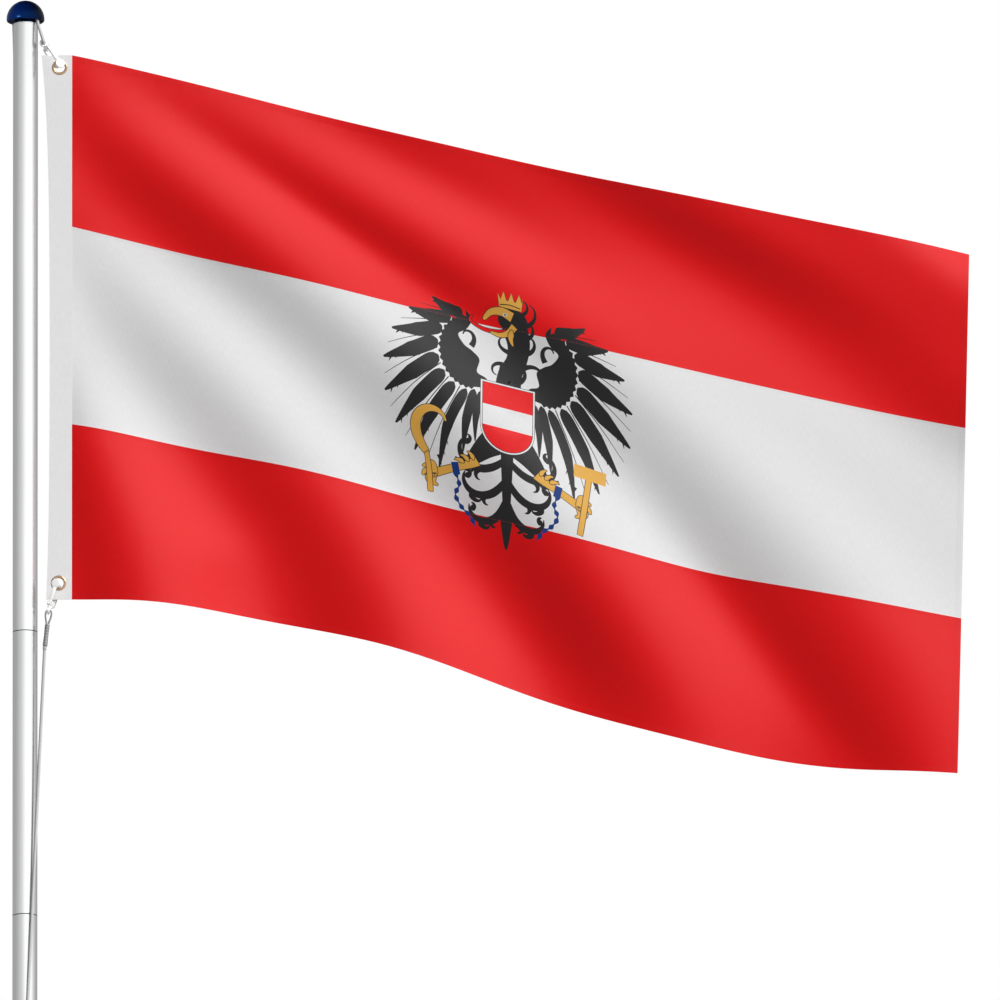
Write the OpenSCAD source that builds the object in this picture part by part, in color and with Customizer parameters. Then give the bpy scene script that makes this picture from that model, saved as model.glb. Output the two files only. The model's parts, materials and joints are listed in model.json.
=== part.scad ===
// Sectional aluminium flagpole with a domed cap, halyard, belaying cleat and a striped flag.
// Millimetres, +Z up, origin on the pole's axis at ground level.

/* [Pole] */
// Outside diameter of the pole tube
pole_d = 40; // [32:1:50]
// Wall of the pole tube
pole_wall = 1.2; // [1:0.1:3]
// Showing length of each long lower section
section_len = 1180; // [900:10:1450]
// Showing length of the short section below the top one
short_len = 467; // [300:1:700]
// Showing length of the top section
top_len = 1007; // [1000:1:1300]
// Length of the reduced neck that enters the section above
neck_len = 80; // [40:5:120]
// Radial gap between a neck and the bore round it
neck_gap = 0.15; // [0.05:0.05:0.4]
// Edge bevel at each end of a section
end_bevel = 0.5; // [0.2:0.1:0.8]

/* [Ground sleeve] */
// Height of the sleeve above the ground
sleeve_h = 80; // [40:5:200]
// Wall of the sleeve
sleeve_wall = 2.5; // [1.5:0.5:5]
// Thickness of the seat that the pole stands on
seat_t = 4; // [2:1:10]
// Radial gap between the sleeve and the pole
sleeve_gap = 0.4; // [0.2:0.1:1]
// Height of the plastic collar on the sleeve's mouth
collar_h = 16; // [10:1:30]
// How far the collar stands out from the sleeve
collar_lip = 3; // [2:0.5:6]

/* [Cap] */
// How far the domed cap stands out from the pole
cap_over = 10.6; // [10:0.1:14]
// Height of the straight skirt under the dome
cap_skirt = 4; // [3:0.5:10]
// How far the cap's rim and the truck's plate sit above the pole's end
cap_lift = 3; // [1:0.5:5]
// Wall of the cap
cap_wall = 2.4; // [1.5:0.1:3]
// Radius of the cap's lower edge
cap_edge = 3; // [1:0.5:4]
// Thickness of the truck's plate, which closes the cap from below
truck_plate = 2.6; // [2:0.2:4]
// Length of the truck's spigot in the pole
truck_spigot = 50; // [30:5:80]
// Turn of the halyard sheave about the pole, seen from above
sheave_turn = -38; // [-60:1:-20]
// Outside radius of the sheave
sheave_r = 13; // [11:0.5:14]
// Width of the sheave
sheave_w = 7; // [6:0.5:9]
// Height of the sheave's axle above the pole's top
sheave_z = 17; // [16:0.5:20]
// Radius of the sheave's axle
axle_r = 2; // [1.5:0.5:3]

/* [Halyard] */
// Diameter of the halyard
rope_d = 5; // [4:0.5:6]
// Gap between the halyard and what it lies on
rope_gap = 0.2; // [0.1:0.1:0.5]
// Distance of the halyard's holes in the truck from the pole's surface
rope_hole_off = 4; // [3.5:0.1:5]
// Diameter of the cord loop at the lower hook
loop_d = 3; // [2:0.5:4]
// Outside radius of the shrink sleeve over the loop's legs
crimp_r = 3.9; // [3.5:0.1:5]
// Length of the shrink sleeve
crimp_len = 36; // [25:1:50]
// Distance from the lower eye to the shrink sleeve
crimp_from = 23; // [18:1:30]
// Lean of the halyard below the lower hook
crimp_tilt = 6.2; // [3:0.1:8]

/* [Cleat] */
// Height of the cleat's middle above the ground
cleat_z = 1300; // [1290:5:1600]
// Overall length of the cleat
cleat_len = 120; // [110:2:160]
// Radius of the cleat's horns at the middle
horn_r = 5; // [4:0.5:6]
// Distance of the horns from the pole's surface
horn_off = 20; // [18:0.5:26]
// Height of the cleat's foot along the pole
foot_len = 56; // [48:2:64]
// Half the spacing of the cleat's screws
screw_at = 20; // [18:1:24]

/* [Snap hooks] */
// Width of a hook across its ring
hook_w = 22; // [20:1:26]
// Width of the ring's bar
hook_bar = 5; // [4:0.5:6]
// Thickness of a hook
hook_t = 6; // [5:0.5:8]
// Radius of the thumb disc on a snap hook's nose
disc_r = 7.5; // [6:0.5:8]
// Distance from the hook's bend to the middle of its swivel eye
hook_len = 45; // [44:1:60]
// Turn of a hook about its own length, away from edge on
hook_turn = -20; // [-25:1:25]
// Lean of the upper hook
upper_tilt = -32.7; // [-40:0.1:-25]
// Lean of the lower hook
lower_tilt = 18.7; // [10:0.1:25]
// Radius of the gate's hinge pin
pin_r = 1; // [0.8:0.1:1.4]
// Radial running gap of the gate on its pin
pin_gap = 0.05; // [0.02:0.01:0.1]

/* [Flag] */
// Width of the flag's cloth along the fly
fly = 1500; // [1200:10:1800]
// Height of the flag's cloth at the hoist
hoist = 900; // [800:10:950]
// Distance of the flag's top edge below the pole's top
flag_drop = 55.6; // [50:0.2:80]
// Distance of the hoist seam from the pole's axis
hoist_at = 75.3; // [70:0.1:100]
// Distance of the flag's cloth in front of the pole's axis
flag_front = 13; // [8:0.5:18]
// Thickness of the cloth as a solid
cloth_t = 1.2; // [0.8:0.1:2]
// Share of the hoist above the first seam
seam_a = 0.3155; // [0.25:0.0005:0.4]
// Share of the hoist above the second seam
seam_b = 0.6785; // [0.6:0.0005:0.75]
// Width of the heading between its ears
head_w = 35.5; // [30:0.5:45]
// Distance of a grommet from the hoist seam
grommet_in = 20; // [16:0.5:24]
// Distance of the upper grommet from the top edge
grommet_down = 20.2; // [16:0.1:30]
// Distance of the lower grommet from the bottom edge
grommet_up = 27; // [16:0.1:28]
// Radius of a grommet's hole
grommet_r = 8.25; // [8:0.25:9]
// Width of a grommet's flange round its hole
grommet_flange = 4.25; // [3:0.25:5]
// Depth of the cloth's folds, as a factor
fold_depth = 1.35; // [0:0.05:1.4]
// Length of the cloth's broad folds along the fly
fold_len = 908; // [800:1:1100]

/* [Hidden] */
$fn = 64;
eps = 0.5;                                   // how far a cutting solid runs past what it cuts

// Pole
pole_r = pole_d / 2;
bore_r = pole_r - pole_wall;
neck_r = bore_r - neck_gap;
lower_sections = 4;
section_z = [for (i = [0 : lower_sections]) seat_t + i * section_len];
top_z = section_z[lower_sections] + short_len;
pole_top = top_z + top_len;
head_z = pole_top + cap_lift;                // rim of the cap and underside of the truck's plate
swage = 8;                                   // height of the cone inside a neck's root

// Halyard
rope_r = rope_d / 2;
wrap_r = pole_r + rope_r + rope_gap;         // radius at which the rope lies on the pole
sheave_rope_r = sheave_r - 1;                // radius at which the rope lies in the sheave
rope_sides = 10;
rope_hole_at = pole_r + rope_hole_off;
turn_step = 10;                              // degrees between the rings of a wound stretch

// Snap hooks: u runs from the bend to the eye, w across the ring, n through it
ring_r = (hook_w - hook_bar) / 2;            // radius of the bend's middle line
inner_r = ring_r - hook_bar / 2;
block_u = 32;                                // underside of the block that closes the ring
block_h = 6;
eye_r = 6.5;
eye_hole_r = rope_r + 0.9;
eye_t = 4;
shank_r = 2.3;
shank_gap = 0.1;
fork_slot = 3.2;
tongue_gap = 0.1;
nose_u = 8.8;
disc_t = 3;
disc_u = 0.5;
gate_tip_u = 9.3;
pin_w = -ring_r + 0.2;
bend_seat = 3;                               // bend's distance from the grommet's middle
hook_back = 1.2;                             // ring's middle line in front of the cloth's middle

// Flag
flag_y = -flag_front;
hook_y = flag_y - hook_back;
flag_top = pole_top - flag_drop;
fly_span = 1445 * fly / 1500;                // the fly's reach along X once it hangs in waves
fly_fall = 336;                              // how far the fly's top corner hangs below the hoist's
upper_hole = [hoist_at - grommet_in, flag_y, flag_top - grommet_down];
lower_hole = [hoist_at - grommet_in - 1.4, flag_y, flag_top - hoist + grommet_up];
upper_dir = [sin(upper_tilt), 0, cos(upper_tilt)];
lower_dir = [sin(180 + lower_tilt), 0, cos(180 + lower_tilt)];
upper_bend = [upper_hole[0], hook_y, upper_hole[2]] + bend_seat * upper_dir;
lower_bend = [lower_hole[0], hook_y, lower_hole[2]] + bend_seat * lower_dir;
upper_eye = upper_bend + hook_len * upper_dir;
lower_eye = lower_bend + hook_len * lower_dir;
crimp_dir = [-sin(crimp_tilt), 0, -cos(crimp_tilt)];
crimp_side = [cos(crimp_tilt), 0, -sin(crimp_tilt)];
rope_start = lower_eye + (crimp_from + crimp_len + 6) * crimp_dir;

silver = [0.82, 0.83, 0.84];
white = [0.93, 0.93, 0.92];
navy = [0.01, 0.07, 0.26];
black = [0.06, 0.06, 0.07];
brass = [0.72, 0.56, 0.28];
red = [0.84, 0.1, 0.12];
rope_grey = [0.8, 0.8, 0.78];

// ---------- routes ----------

function unit(v) = v / norm(v);
function on_pole(a, z) = [wrap_r * cos(a), wrap_r * sin(a), z];
function reach(p) = sqrt(p[0] * p[0] + p[1] * p[1]);
// Angle at which a straight run to p leaves the wrapped rope; way is +1 or -1 for the side
function leave_angle(p, way) = atan2(p[1], p[0]) + way * acos(wrap_r / reach(p));
function straight_len(p) = sqrt(pow(reach(p), 2) - wrap_r * wrap_r);
function arc_len(a, b) = abs(a - b) * PI / 180 * wrap_r;
// One pass of corner cutting, which keeps both ends
function cut_corners(p) = concat([p[0]],
    [for (i = [0 : len(p) - 2], k = [0.25, 0.75]) p[i] + k * (p[i + 1] - p[i])], [p[len(p) - 1]]);

// Figure-of-eight turns on the cleat: t is the angle along them
eight_w = 12;
eight_h = 38;
eight_back = horn_off - 11;                  // how far the turns pass behind the horns
eight_front = 19.5;
turns_from = 45;
turns_to = 315;
turn_rise = rope_d + 0.4;                    // how much wider each turn lies than the one under it
function eight(t) = [
    -(eight_w + turn_rise * t / 360) * sin(2 * t),
    -(pole_r + eight_back + (eight_front + turn_rise * (t - turns_from) / 180) * pow(sin(t), 2)),
    cleat_z + (eight_h + turn_rise * t / 360) * cos(t)];
turns_start = eight(turns_from);
turns_end = eight(turns_to);

// A point in the sheave's upright plane: q out from the pole's axis, h above the truck's underside
function in_sheave(q, h) = [q * cos(sheave_turn), q * sin(sheave_turn), head_z + h];
over_sheave = [for (a = [-10 : 20 : 190]) in_sheave(sheave_rope_r * cos(a), sheave_z + sheave_rope_r * sin(a))];

// Rope's end in the upper eye, out in front of it and up to the truck's front hole
knot_run = cut_corners(cut_corners([
    upper_eye + [0, eye_t / 2, 0],
    upper_eye - [0, eye_t / 2 + rope_r + 0.6, 0],
    upper_eye - [1.5, eye_t / 2 + rope_r + 0.6, -7],
    in_sheave(rope_hole_at, -3),
    in_sheave(rope_hole_at, 4.5),
    over_sheave[0]]));

// Down behind the pole, round it and across to the cleat's left side
up_from = [180 + sheave_turn, pole_top - 40];
up_leave = leave_angle(turns_start, 1);
up_slope = (up_from[1] - turns_start[2]) / (arc_len(up_from[0], up_leave) + straight_len(turns_start));
up_steps = ceil((up_from[0] - up_leave) / turn_step);
up_wrap = [for (i = [0 : up_steps])
    let (a = up_from[0] + (up_leave - up_from[0]) * i / up_steps)
    on_pole(a, up_from[1] - up_slope * arc_len(up_from[0], a))];
back_run = cut_corners(cut_corners([over_sheave[len(over_sheave) - 1],
    in_sheave(-rope_hole_at, 4.5), in_sheave(-rope_hole_at, -3), up_wrap[0]]));

// From the cleat's right side up to the pole, round it and across to the lower hook
down_leave = leave_angle(rope_start, -1);
down_join = leave_angle(turns_end, 1) - 360;
down_slope = (rope_start[2] - turns_end[2])
    / (straight_len(rope_start) + arc_len(down_leave, down_join) + straight_len(turns_end));
down_steps = ceil((down_leave - down_join) / turn_step);
down_wrap = [for (i = [0 : down_steps])
    let (a = down_join + (down_leave - down_join) * i / down_steps)
    on_pole(a, turns_end[2] + down_slope * (straight_len(turns_end) + arc_len(down_join, a)))];

up_route = concat(knot_run, [for (i = [1 : len(over_sheave) - 2]) over_sheave[i]], back_run,
    [for (i = [1 : len(up_wrap) - 1]) up_wrap[i]], [turns_start + [0, 2, 12]]);
turn_angles = 22.5;
eight_route = [for (t = [turns_from : turn_angles : turns_to]) eight(t)];
down_route = concat([turns_end + [0, 2, 12]], down_wrap, [rope_start, rope_start - 8 * crimp_dir]);
halyard = concat(up_route, eight_route, down_route);
turns_first = len(up_route);
turns_last = turns_first + len(eight_route) - 1;

function along(p, i) = unit(p[min(i + 1, len(p) - 1)] - p[max(i - 1, 0)]);
function square_to(v, t) = unit(v - (v * t) * t);
// Side direction at every point of a route, carried along it without twist
function sides_of(p) = [for (i = 0, s = square_to([0.3, 0.9, 0.2], along(p, 0)); i < len(p);
    i = i + 1, s = i < len(p) ? square_to(s, along(p, i)) : s) s];

// Round tube along points first to last of a route
module tube(p, first, last, r, count) {
    s = sides_of(p);
    rings = last - first + 1;
    pts = [for (i = [first : last], k = [0 : count - 1])
        let (t = along(p, i), a = 360 * k / count)
        p[i] + r * (cos(a) * s[i] + sin(a) * cross(t, s[i]))];
    skin = [for (i = [0 : rings - 2], k = [0 : count - 1])
        let (a = i * count + k, b = i * count + (k + 1) % count)
        each [[a, b + count, b], [a, a + count, b + count]]];
    start_face = [for (k = [0 : count - 1]) k];
    end_face = [for (k = [count - 1 : -1 : 0]) (rings - 1) * count + k];
    polyhedron(points = pts, faces = concat(skin, [start_face, end_face]), convexity = 10);
}

// ---------- pole and ground sleeve ----------

module section(z, length, neck) {
    color(silver) translate([0, 0, z]) rotate_extrude($fn = 96)
        polygon(concat(
            [[bore_r, 0], [pole_r - end_bevel, 0], [pole_r, end_bevel],
             [pole_r, length - end_bevel], [pole_r - end_bevel, length]],
            neck ? [[neck_r, length], [neck_r, length + neck_len - end_bevel],
                    [neck_r - end_bevel, length + neck_len], [neck_r - pole_wall, length + neck_len],
                    [neck_r - pole_wall, length], [bore_r, length - swage]]
                 : [[bore_r, length]]));
}

module pole_section_1() section(section_z[0], section_len, true);
module pole_section_2() difference() {
    section(section_z[1], section_len, true);
    screw_holes(screw_r);
}
module pole_section_3() section(section_z[2], section_len, true);
module pole_section_4() section(section_z[3], section_len, true);
module pole_section_5() section(section_z[4], short_len, true);
module pole_section_6() section(top_z, top_len, false);

module ground_sleeve() color(silver)
    rotate_extrude($fn = 96) polygon([[0, 0], [sleeve_r(), 0], [sleeve_r(), sleeve_h],
        [sleeve_r() - sleeve_wall, sleeve_h], [sleeve_r() - sleeve_wall, seat_t], [0, seat_t]]);
function sleeve_r() = pole_r + sleeve_gap + sleeve_wall;

module sleeve_collar() color(black) {
    base = sleeve_h - collar_h + 4;
    out_r = sleeve_r() + collar_lip;
    rotate_extrude($fn = 96) polygon([[sleeve_r(), base], [out_r, base], [out_r, sleeve_h + 1],
        [out_r - 3, sleeve_h + 4], [pole_r + 0.1, sleeve_h + 4], [pole_r + 0.1, sleeve_h], [sleeve_r(), sleeve_h]]);
}

// ---------- cap, truck and sheave ----------

cap_r = pole_r + cap_over;
plate_r = cap_r - cap_wall;

module cap_dome() color(navy) translate([0, 0, head_z]) rotate_extrude($fn = 96) difference() {
    union() {
        translate([0, cap_skirt]) intersection() {
            circle(r = cap_r, $fn = 128);
            translate([0, -eps]) square([cap_r, cap_r + 2 * eps]);
        }
        translate([0, cap_edge]) square([cap_r, cap_skirt - cap_edge]);
        square([cap_r - cap_edge, cap_skirt]);
        translate([cap_r - cap_edge, cap_edge]) circle(r = cap_edge, $fn = 48);
    }
    translate([0, cap_skirt]) circle(r = plate_r, $fn = 128);
    translate([0, -eps]) square([plate_r, cap_skirt + eps]);
    translate([-cap_r - eps, -cap_r]) square([cap_r + eps, 3 * cap_r]);
}

module truck() color(navy) translate([0, 0, head_z]) difference() {
    union() {
        cylinder(r = plate_r, h = truck_plate, $fn = 96);
        // shoulder that rests on the pole's end
        translate([0, 0, -cap_lift]) cylinder(r = pole_r - end_bevel, h = cap_lift, $fn = 96);
        translate([0, 0, -truck_spigot]) cylinder(r = bore_r - neck_gap, h = truck_spigot, $fn = 96);
        rotate([0, 0, sheave_turn]) for (side = [-1, 1])
            translate([-7, side * (cheek_in() + cheek_t / 2) - cheek_t / 2, 0]) cube([14, cheek_t, sheave_z + 6]);
    }
    translate([0, 0, -truck_spigot - eps]) cylinder(r = bore_r - 4, h = truck_spigot + eps);
    for (q = [-1, 1]) rotate([0, 0, sheave_turn]) translate([q * rope_hole_at, 0, -eps])
        cylinder(r = rope_r + 0.6, h = truck_plate + 2 * eps, $fn = 32);
    rotate([0, 0, sheave_turn]) translate([0, -20, sheave_z]) rotate([-90, 0, 0]) cylinder(r = axle_r, h = 40, $fn = 32);
}
cheek_t = 3;
function cheek_in() = sheave_w / 2 + 0.3;

groove_gap = 0.35;
module pulley_wheel() color(white) translate([0, 0, head_z + sheave_z]) rotate([0, 0, sheave_turn]) rotate([-90, 0, 0])
    rotate_extrude($fn = 64) difference() {
        translate([axle_r + pin_gap, -sheave_w / 2]) square([sheave_r - axle_r - pin_gap, sheave_w]);
        translate([sheave_rope_r, 0]) circle(r = rope_r + groove_gap, $fn = 32);
        translate([sheave_rope_r, -rope_r - groove_gap]) square([sheave_r, rope_d + 2 * groove_gap]);
    }

module pulley_pin() color(silver) translate([0, 0, head_z + sheave_z]) rotate([0, 0, sheave_turn]) rotate([-90, 0, 0])
    translate([0, 0, -cheek_in() - cheek_t]) cylinder(r = axle_r, h = 2 * (cheek_in() + cheek_t), $fn = 32);

// ---------- cleat ----------

screw_r = 2;
horn_y = -(pole_r + horn_off);

module screw_holes(r) for (s = [-1, 1])
    translate([0, -pole_r - 8, cleat_z + s * screw_at]) rotate([-90, 0, 0]) cylinder(r = r, h = 16, $fn = 24);

module cleat() color(white) difference() {
    union() {
        // foot
        translate([-8, -pole_r - 4, cleat_z - foot_len / 2]) cube([16, 10, foot_len]);
        // stem
        translate([-4, horn_y, cleat_z - 13]) cube([8, horn_off, 26]);
        // horns
        for (s = [0, 180]) translate([0, horn_y, cleat_z]) rotate([s, 0, 0])
            cylinder(r1 = horn_r, r2 = horn_r * 0.7, h = cleat_len / 2 - 3);
        for (s = [-1, 1]) translate([0, horn_y, cleat_z + s * (cleat_len / 2 - 3)]) sphere(r = horn_r * 0.7, $fn = 32);
    }
    translate([0, 0, cleat_z - foot_len]) cylinder(r = pole_r + 0.1, h = 2 * foot_len, $fn = 96);
    screw_holes(screw_r);
}

module cleat_screws() color(silver) for (s = [-1, 1])
    translate([0, -pole_r - 4, cleat_z + s * screw_at]) rotate([-90, 0, 0]) {
        cylinder(r = screw_r, h = 10, $fn = 24);
        translate([0, 0, -1.8]) cylinder(r = 3.4, h = 1.8, $fn = 32);
    }

// ---------- halyard ----------

module halyard_up() color(rope_grey) tube(halyard, 0, turns_first, rope_r, rope_sides);
module cleat_turns() color(rope_grey) tube(halyard, turns_first, turns_last, rope_r, rope_sides);
module halyard_down() color(rope_grey) tube(halyard, turns_last, len(halyard) - 1, rope_r, rope_sides);

module upper_knot() color(rope_grey) translate(upper_eye + [0, eye_t / 2, 0]) rotate([-90, 0, 0])
    cylinder(r1 = 3.9, r2 = 3.2, h = 4.5, $fn = 32);

// Runs down from the lower eye with +Z towards the halyard
module below_lower_eye() translate(lower_eye) rotate([0, 180 + crimp_tilt, 0]) children();

loop_out = eye_t / 2 + loop_d / 2 + 0.6;
loop_in = loop_d / 2 + 0.1;
loop_route = let (far = crimp_from + crimp_len - 8) cut_corners(cut_corners([
    [-loop_in, 0, far], [-loop_in, 0, crimp_from + 1], [-loop_in, 0, crimp_from - 2], [-loop_out - 1, 0, 9],
    [-loop_out, 0, 0], [0, 0, 0.6], [loop_out, 0, 0],
    [loop_out + 1, 0, 9], [loop_in, 0, crimp_from - 2], [loop_in, 0, crimp_from + 1], [loop_in, 0, far]]));
module lower_loop() color(rope_grey) below_lower_eye() tube(loop_route, 0, len(loop_route) - 1, loop_d / 2, 8);

module rope_sleeve() color([0.45, 0.45, 0.45]) below_lower_eye() translate([0, 0, crimp_from]) difference() {
    cylinder(r = crimp_r, h = crimp_len, $fn = 32);
    translate([0, 0, -eps]) cylinder(r = loop_d + 0.2, h = crimp_len + 2 * eps, $fn = 32);
}

module rope_whipping() color(rope_grey) below_lower_eye() translate([0, 0, crimp_from + crimp_len + 1.5]) difference() {
    cylinder(r = rope_r + 0.7, h = 4, $fn = 32);
    translate([0, 0, -eps]) cylinder(r = rope_r + 0.05, h = 4 + 2 * eps, $fn = 32);
}

// ---------- snap hooks ----------

module at_upper_hook() translate(upper_bend) rotate([0, upper_tilt, 0]) rotate([0, 0, 90 - hook_turn]) children();
module at_lower_hook() translate(lower_bend) rotate([0, 180 + lower_tilt, 0]) rotate([0, 0, 90 - hook_turn]) children();

// Flat outline in w and u, set up on edge and centred on the hook's thickness
module hook_plate(t) rotate([90, 0, 0]) translate([0, 0, -t / 2]) linear_extrude(t) children();

module hook_body() difference() {
    union() {
        hook_plate(hook_t) difference() {
            union() {
                translate([0, ring_r]) circle(r = hook_w / 2, $fn = 64);
                translate([-hook_w / 2, ring_r]) square([hook_w, block_u + block_h - ring_r - 2]);
                translate([-hook_w / 2 + 3, block_u]) square([hook_w - 6, block_h]);
            }
            translate([0, ring_r]) circle(r = inner_r, $fn = 64);
            translate([-inner_r, ring_r]) square([2 * inner_r, block_u - ring_r]);
            // room for the gate between the nose and the fork's rounded cheeks
            translate([-hook_w / 2 - eps, nose_u])
                square([hook_bar + 2 * eps, block_u - nose_u]);
        }
        hook_plate(hook_t) translate([pin_w, block_u]) circle(r = cheek_r(), $fn = 32);
        // thumb disc across the nose, cut off below the gate's tip
        translate([-hook_w / 2, 0, 0]) intersection() {
            translate([0, 0, disc_u]) rotate([0, 90, 0]) cylinder(r = disc_r, h = disc_t, $fn = 64);
            translate([0, -disc_r, disc_u - disc_r]) cube([disc_t, 2 * disc_r, nose_u - disc_u + disc_r]);
        }
    }
    // slot for the gate's tongue
    translate([-hook_w / 2 - eps, -fork_slot / 2, block_u - 4]) cube([hook_bar + eps + 0.9, fork_slot, 7.2]);
    // pin hole and swivel bore
    translate([pin_w, hook_t, block_u]) rotate([90, 0, 0]) cylinder(r = pin_r, h = 2 * hook_t, $fn = 24);
    translate([0, 0, block_u - eps]) cylinder(r = shank_r + shank_gap, h = block_h + 2 * eps, $fn = 32);
}
function cheek_r() = hook_w / 2 + pin_w;

module hook_gate() difference() {
    union() {
        hook_plate(hook_t) translate([-hook_w / 2, gate_tip_u])
            square([hook_bar, block_u - cheek_r() - 0.4 - gate_tip_u]);
        hook_plate(fork_slot - 2 * tongue_gap) {
            translate([pin_w, block_u]) circle(r = cheek_r() - 0.2, $fn = 32);
            translate([pin_w - cheek_r() + 0.2, block_u - 6]) square([2 * cheek_r() - 0.4, 6]);
        }
    }
    translate([pin_w, hook_t, block_u]) rotate([90, 0, 0]) cylinder(r = pin_r + pin_gap, h = 2 * hook_t, $fn = 24);
}

module hook_pin() translate([pin_w, hook_t / 2, block_u]) rotate([90, 0, 0]) cylinder(r = pin_r, h = hook_t, $fn = 24);

// The swivel's own turn sets which way its eye faces
module hook_swivel(turn) {
    translate([0, 0, block_u - 2.6]) cylinder(r = shank_r + 1.3, h = 2.4, $fn = 32);
    translate([0, 0, block_u - 0.4]) cylinder(r = shank_r, h = block_h + 1, $fn = 32);
    translate([0, 0, block_u + block_h + 0.2]) cylinder(r = shank_r + 2, h = 2, $fn = 32);
    rotate([0, 0, turn]) difference() {
        union() {
            translate([0, eye_t / 2, hook_len]) rotate([90, 0, 0]) cylinder(r = eye_r, h = eye_t, $fn = 48);
            translate([-4, -eye_t / 2, block_u + block_h + 1]) cube([8, eye_t, hook_len - block_u - block_h - 3]);
        }
        translate([0, eye_t, hook_len]) rotate([90, 0, 0]) cylinder(r = eye_hole_r, h = 2 * eye_t, $fn = 32);
    }
}

module upper_hook() color(white) at_upper_hook() hook_body();
module upper_gate() color(white) at_upper_hook() hook_gate();
module upper_pin() color(silver) at_upper_hook() hook_pin();
module upper_swivel() color(white) at_upper_hook() hook_swivel(hook_turn - 90);
module lower_hook() color(white) at_lower_hook() hook_body();
module lower_gate() color(white) at_lower_hook() hook_gate();
module lower_pin() color(silver) at_lower_hook() hook_pin();
module lower_swivel() color(white) at_lower_hook() hook_swivel(hook_turn);

// ---------- flag ----------

module grommet(at) color(brass) translate(at) rotate([90, 0, 0]) rotate_extrude($fn = 64) {
    flange_t = 0.9;
    translate([grommet_r, -cloth_t / 2 - flange_t]) square([0.75, cloth_t + 2 * flange_t]);
    for (y = [-cloth_t / 2 - flange_t, cloth_t / 2]) translate([grommet_r, y]) square([grommet_flange, flange_t]);
}
module grommet_top() grommet(upper_hole);
module grommet_bottom() grommet(lower_hole);

ear_top = 14;                                // how far the hooks pull the heading's corners out
ear_bottom = 6;
ear_len = 0.14;
function heading_w(v) = head_w + ear_top * exp(-v / ear_len) + ear_bottom * exp((v - 1) / ear_len);
module heading() color(white) difference() {
    translate([0, flag_y + cloth_t / 2, 0]) rotate([90, 0, 0]) linear_extrude(cloth_t) polygon(concat(
        [[hoist_at, flag_top - hoist], [hoist_at, flag_top]],
        [for (i = [0 : 24]) let (v = i / 24) [hoist_at - heading_w(v), flag_top - hoist * v]]));
    for (at = [upper_hole, lower_hole]) translate(at) rotate([90, 0, 0])
        cylinder(r = grommet_r + 0.8, h = 4 * cloth_t, center = true);
}

// Place of the cloth's middle at u along the fly and v down the hoist, both from 0 to 1
function fold_turn(u, v) = 360 * (fly * u - hoist * v * (2.44 - 1.12 * v)) / fold_len;
function broad_fold(u, v) = (5.2 - 18.9 * u + 8.9 * v) * cos(fold_turn(u, v) - 108);
function fine_fold(u, v) = (2.9 - 7.8 * u + 12.6 * v) * cos(2 * fold_turn(u, v) - 40);
// Single folds: middle from the hoist seam and from the top, slant, half length, half width, height
single_folds = [[480, 190, 23, 330, 34, 4.8], [555, 50, 16, 520, 65, 10.4], [1145, 115, 11, 555, 75, 7.5],
    [1190, 740, 46, 370, 58, 5.2], [910, 890, 38, 400, 115, 14], [245, 790, -25, 70, 55, -3.2]];
function single_fold(f, s, t) = f[5] * exp(
    -pow((s * cos(f[2]) + t * sin(f[2])) / f[3], 2) - pow((t * cos(f[2]) - s * sin(f[2])) / f[4], 2));
function folds(s, t, i = 0) = i == len(single_folds) ? 0
    : single_fold(single_folds[i], s - single_folds[i][0], t - single_folds[i][1]) + folds(s, t, i + 1);
function ripple(u, v) = fold_depth * (1 - exp(-u / 0.07))
    * (broad_fold(u, v) + fine_fold(u, v) + folds(fly * u, hoist * v));
function fall(u, v) = u * (fly_fall - 44 * pow(v, 3)) + 12 * (1 - v) * sin(180 * u) - 33 * pow(v, 3) * sin(360 * u);
function cloth(u, v) = [
    hoist_at + u * (fly_span - 22 * v),
    flag_y + ripple(u, v),
    flag_top - hoist * v - fall(u, v)];

across = 60;
down = 16;
module panel(v0, v1) {
    row = across + 1;
    grid = row * (down + 1);
    mid = [for (j = [0 : down], i = [0 : across]) cloth(i / across, v0 + (v1 - v0) * j / down)];
    pts = concat([for (p = mid) p - [0, cloth_t / 2, 0]], [for (p = mid) p + [0, cloth_t / 2, 0]]);
    front = [for (j = [0 : down - 1], i = [0 : across - 1]) let (a = j * row + i)
        each [[a, a + row + 1, a + row], [a, a + 1, a + row + 1]]];
    back = [for (f = front) [f[0] + grid, f[2] + grid, f[1] + grid]];
    ends = [for (i = [0 : across - 1]) each [[i, i + grid, i + 1], [i + 1, i + grid, i + 1 + grid]]];
    foot_row = down * row;
    feet = [for (i = [0 : across - 1]) let (a = foot_row + i)
        each [[a, a + 1, a + grid], [a + 1, a + 1 + grid, a + grid]]];
    hoist_edge = [for (j = [0 : down - 1]) let (a = j * row) each [[a, a + row, a + grid], [a + row, a + row + grid, a + grid]]];
    fly_edge = [for (j = [0 : down - 1]) let (a = j * row + across)
        each [[a, a + grid, a + row], [a + row, a + grid, a + row + grid]]];
    polyhedron(points = pts, faces = concat(front, back, ends, feet, hoist_edge, fly_edge), convexity = 10);
}
module stripe_top() color(red) panel(0, seam_a);
module stripe_middle() color(white) panel(seam_a, seam_b);
module stripe_bottom() color(red) panel(seam_b, 1);

ground_sleeve();
sleeve_collar();
pole_section_1();
pole_section_2();
pole_section_3();
pole_section_4();
pole_section_5();
pole_section_6();
truck();
pulley_wheel();
pulley_pin();
cap_dome();
cleat();
cleat_screws();
halyard_up();
cleat_turns();
halyard_down();
upper_knot();
upper_swivel();
upper_hook();
upper_gate();
upper_pin();
lower_swivel();
lower_hook();
lower_gate();
lower_pin();
lower_loop();
rope_sleeve();
rope_whipping();
grommet_top();
grommet_bottom();
heading();
stripe_top();
stripe_middle();
stripe_bottom();
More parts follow.
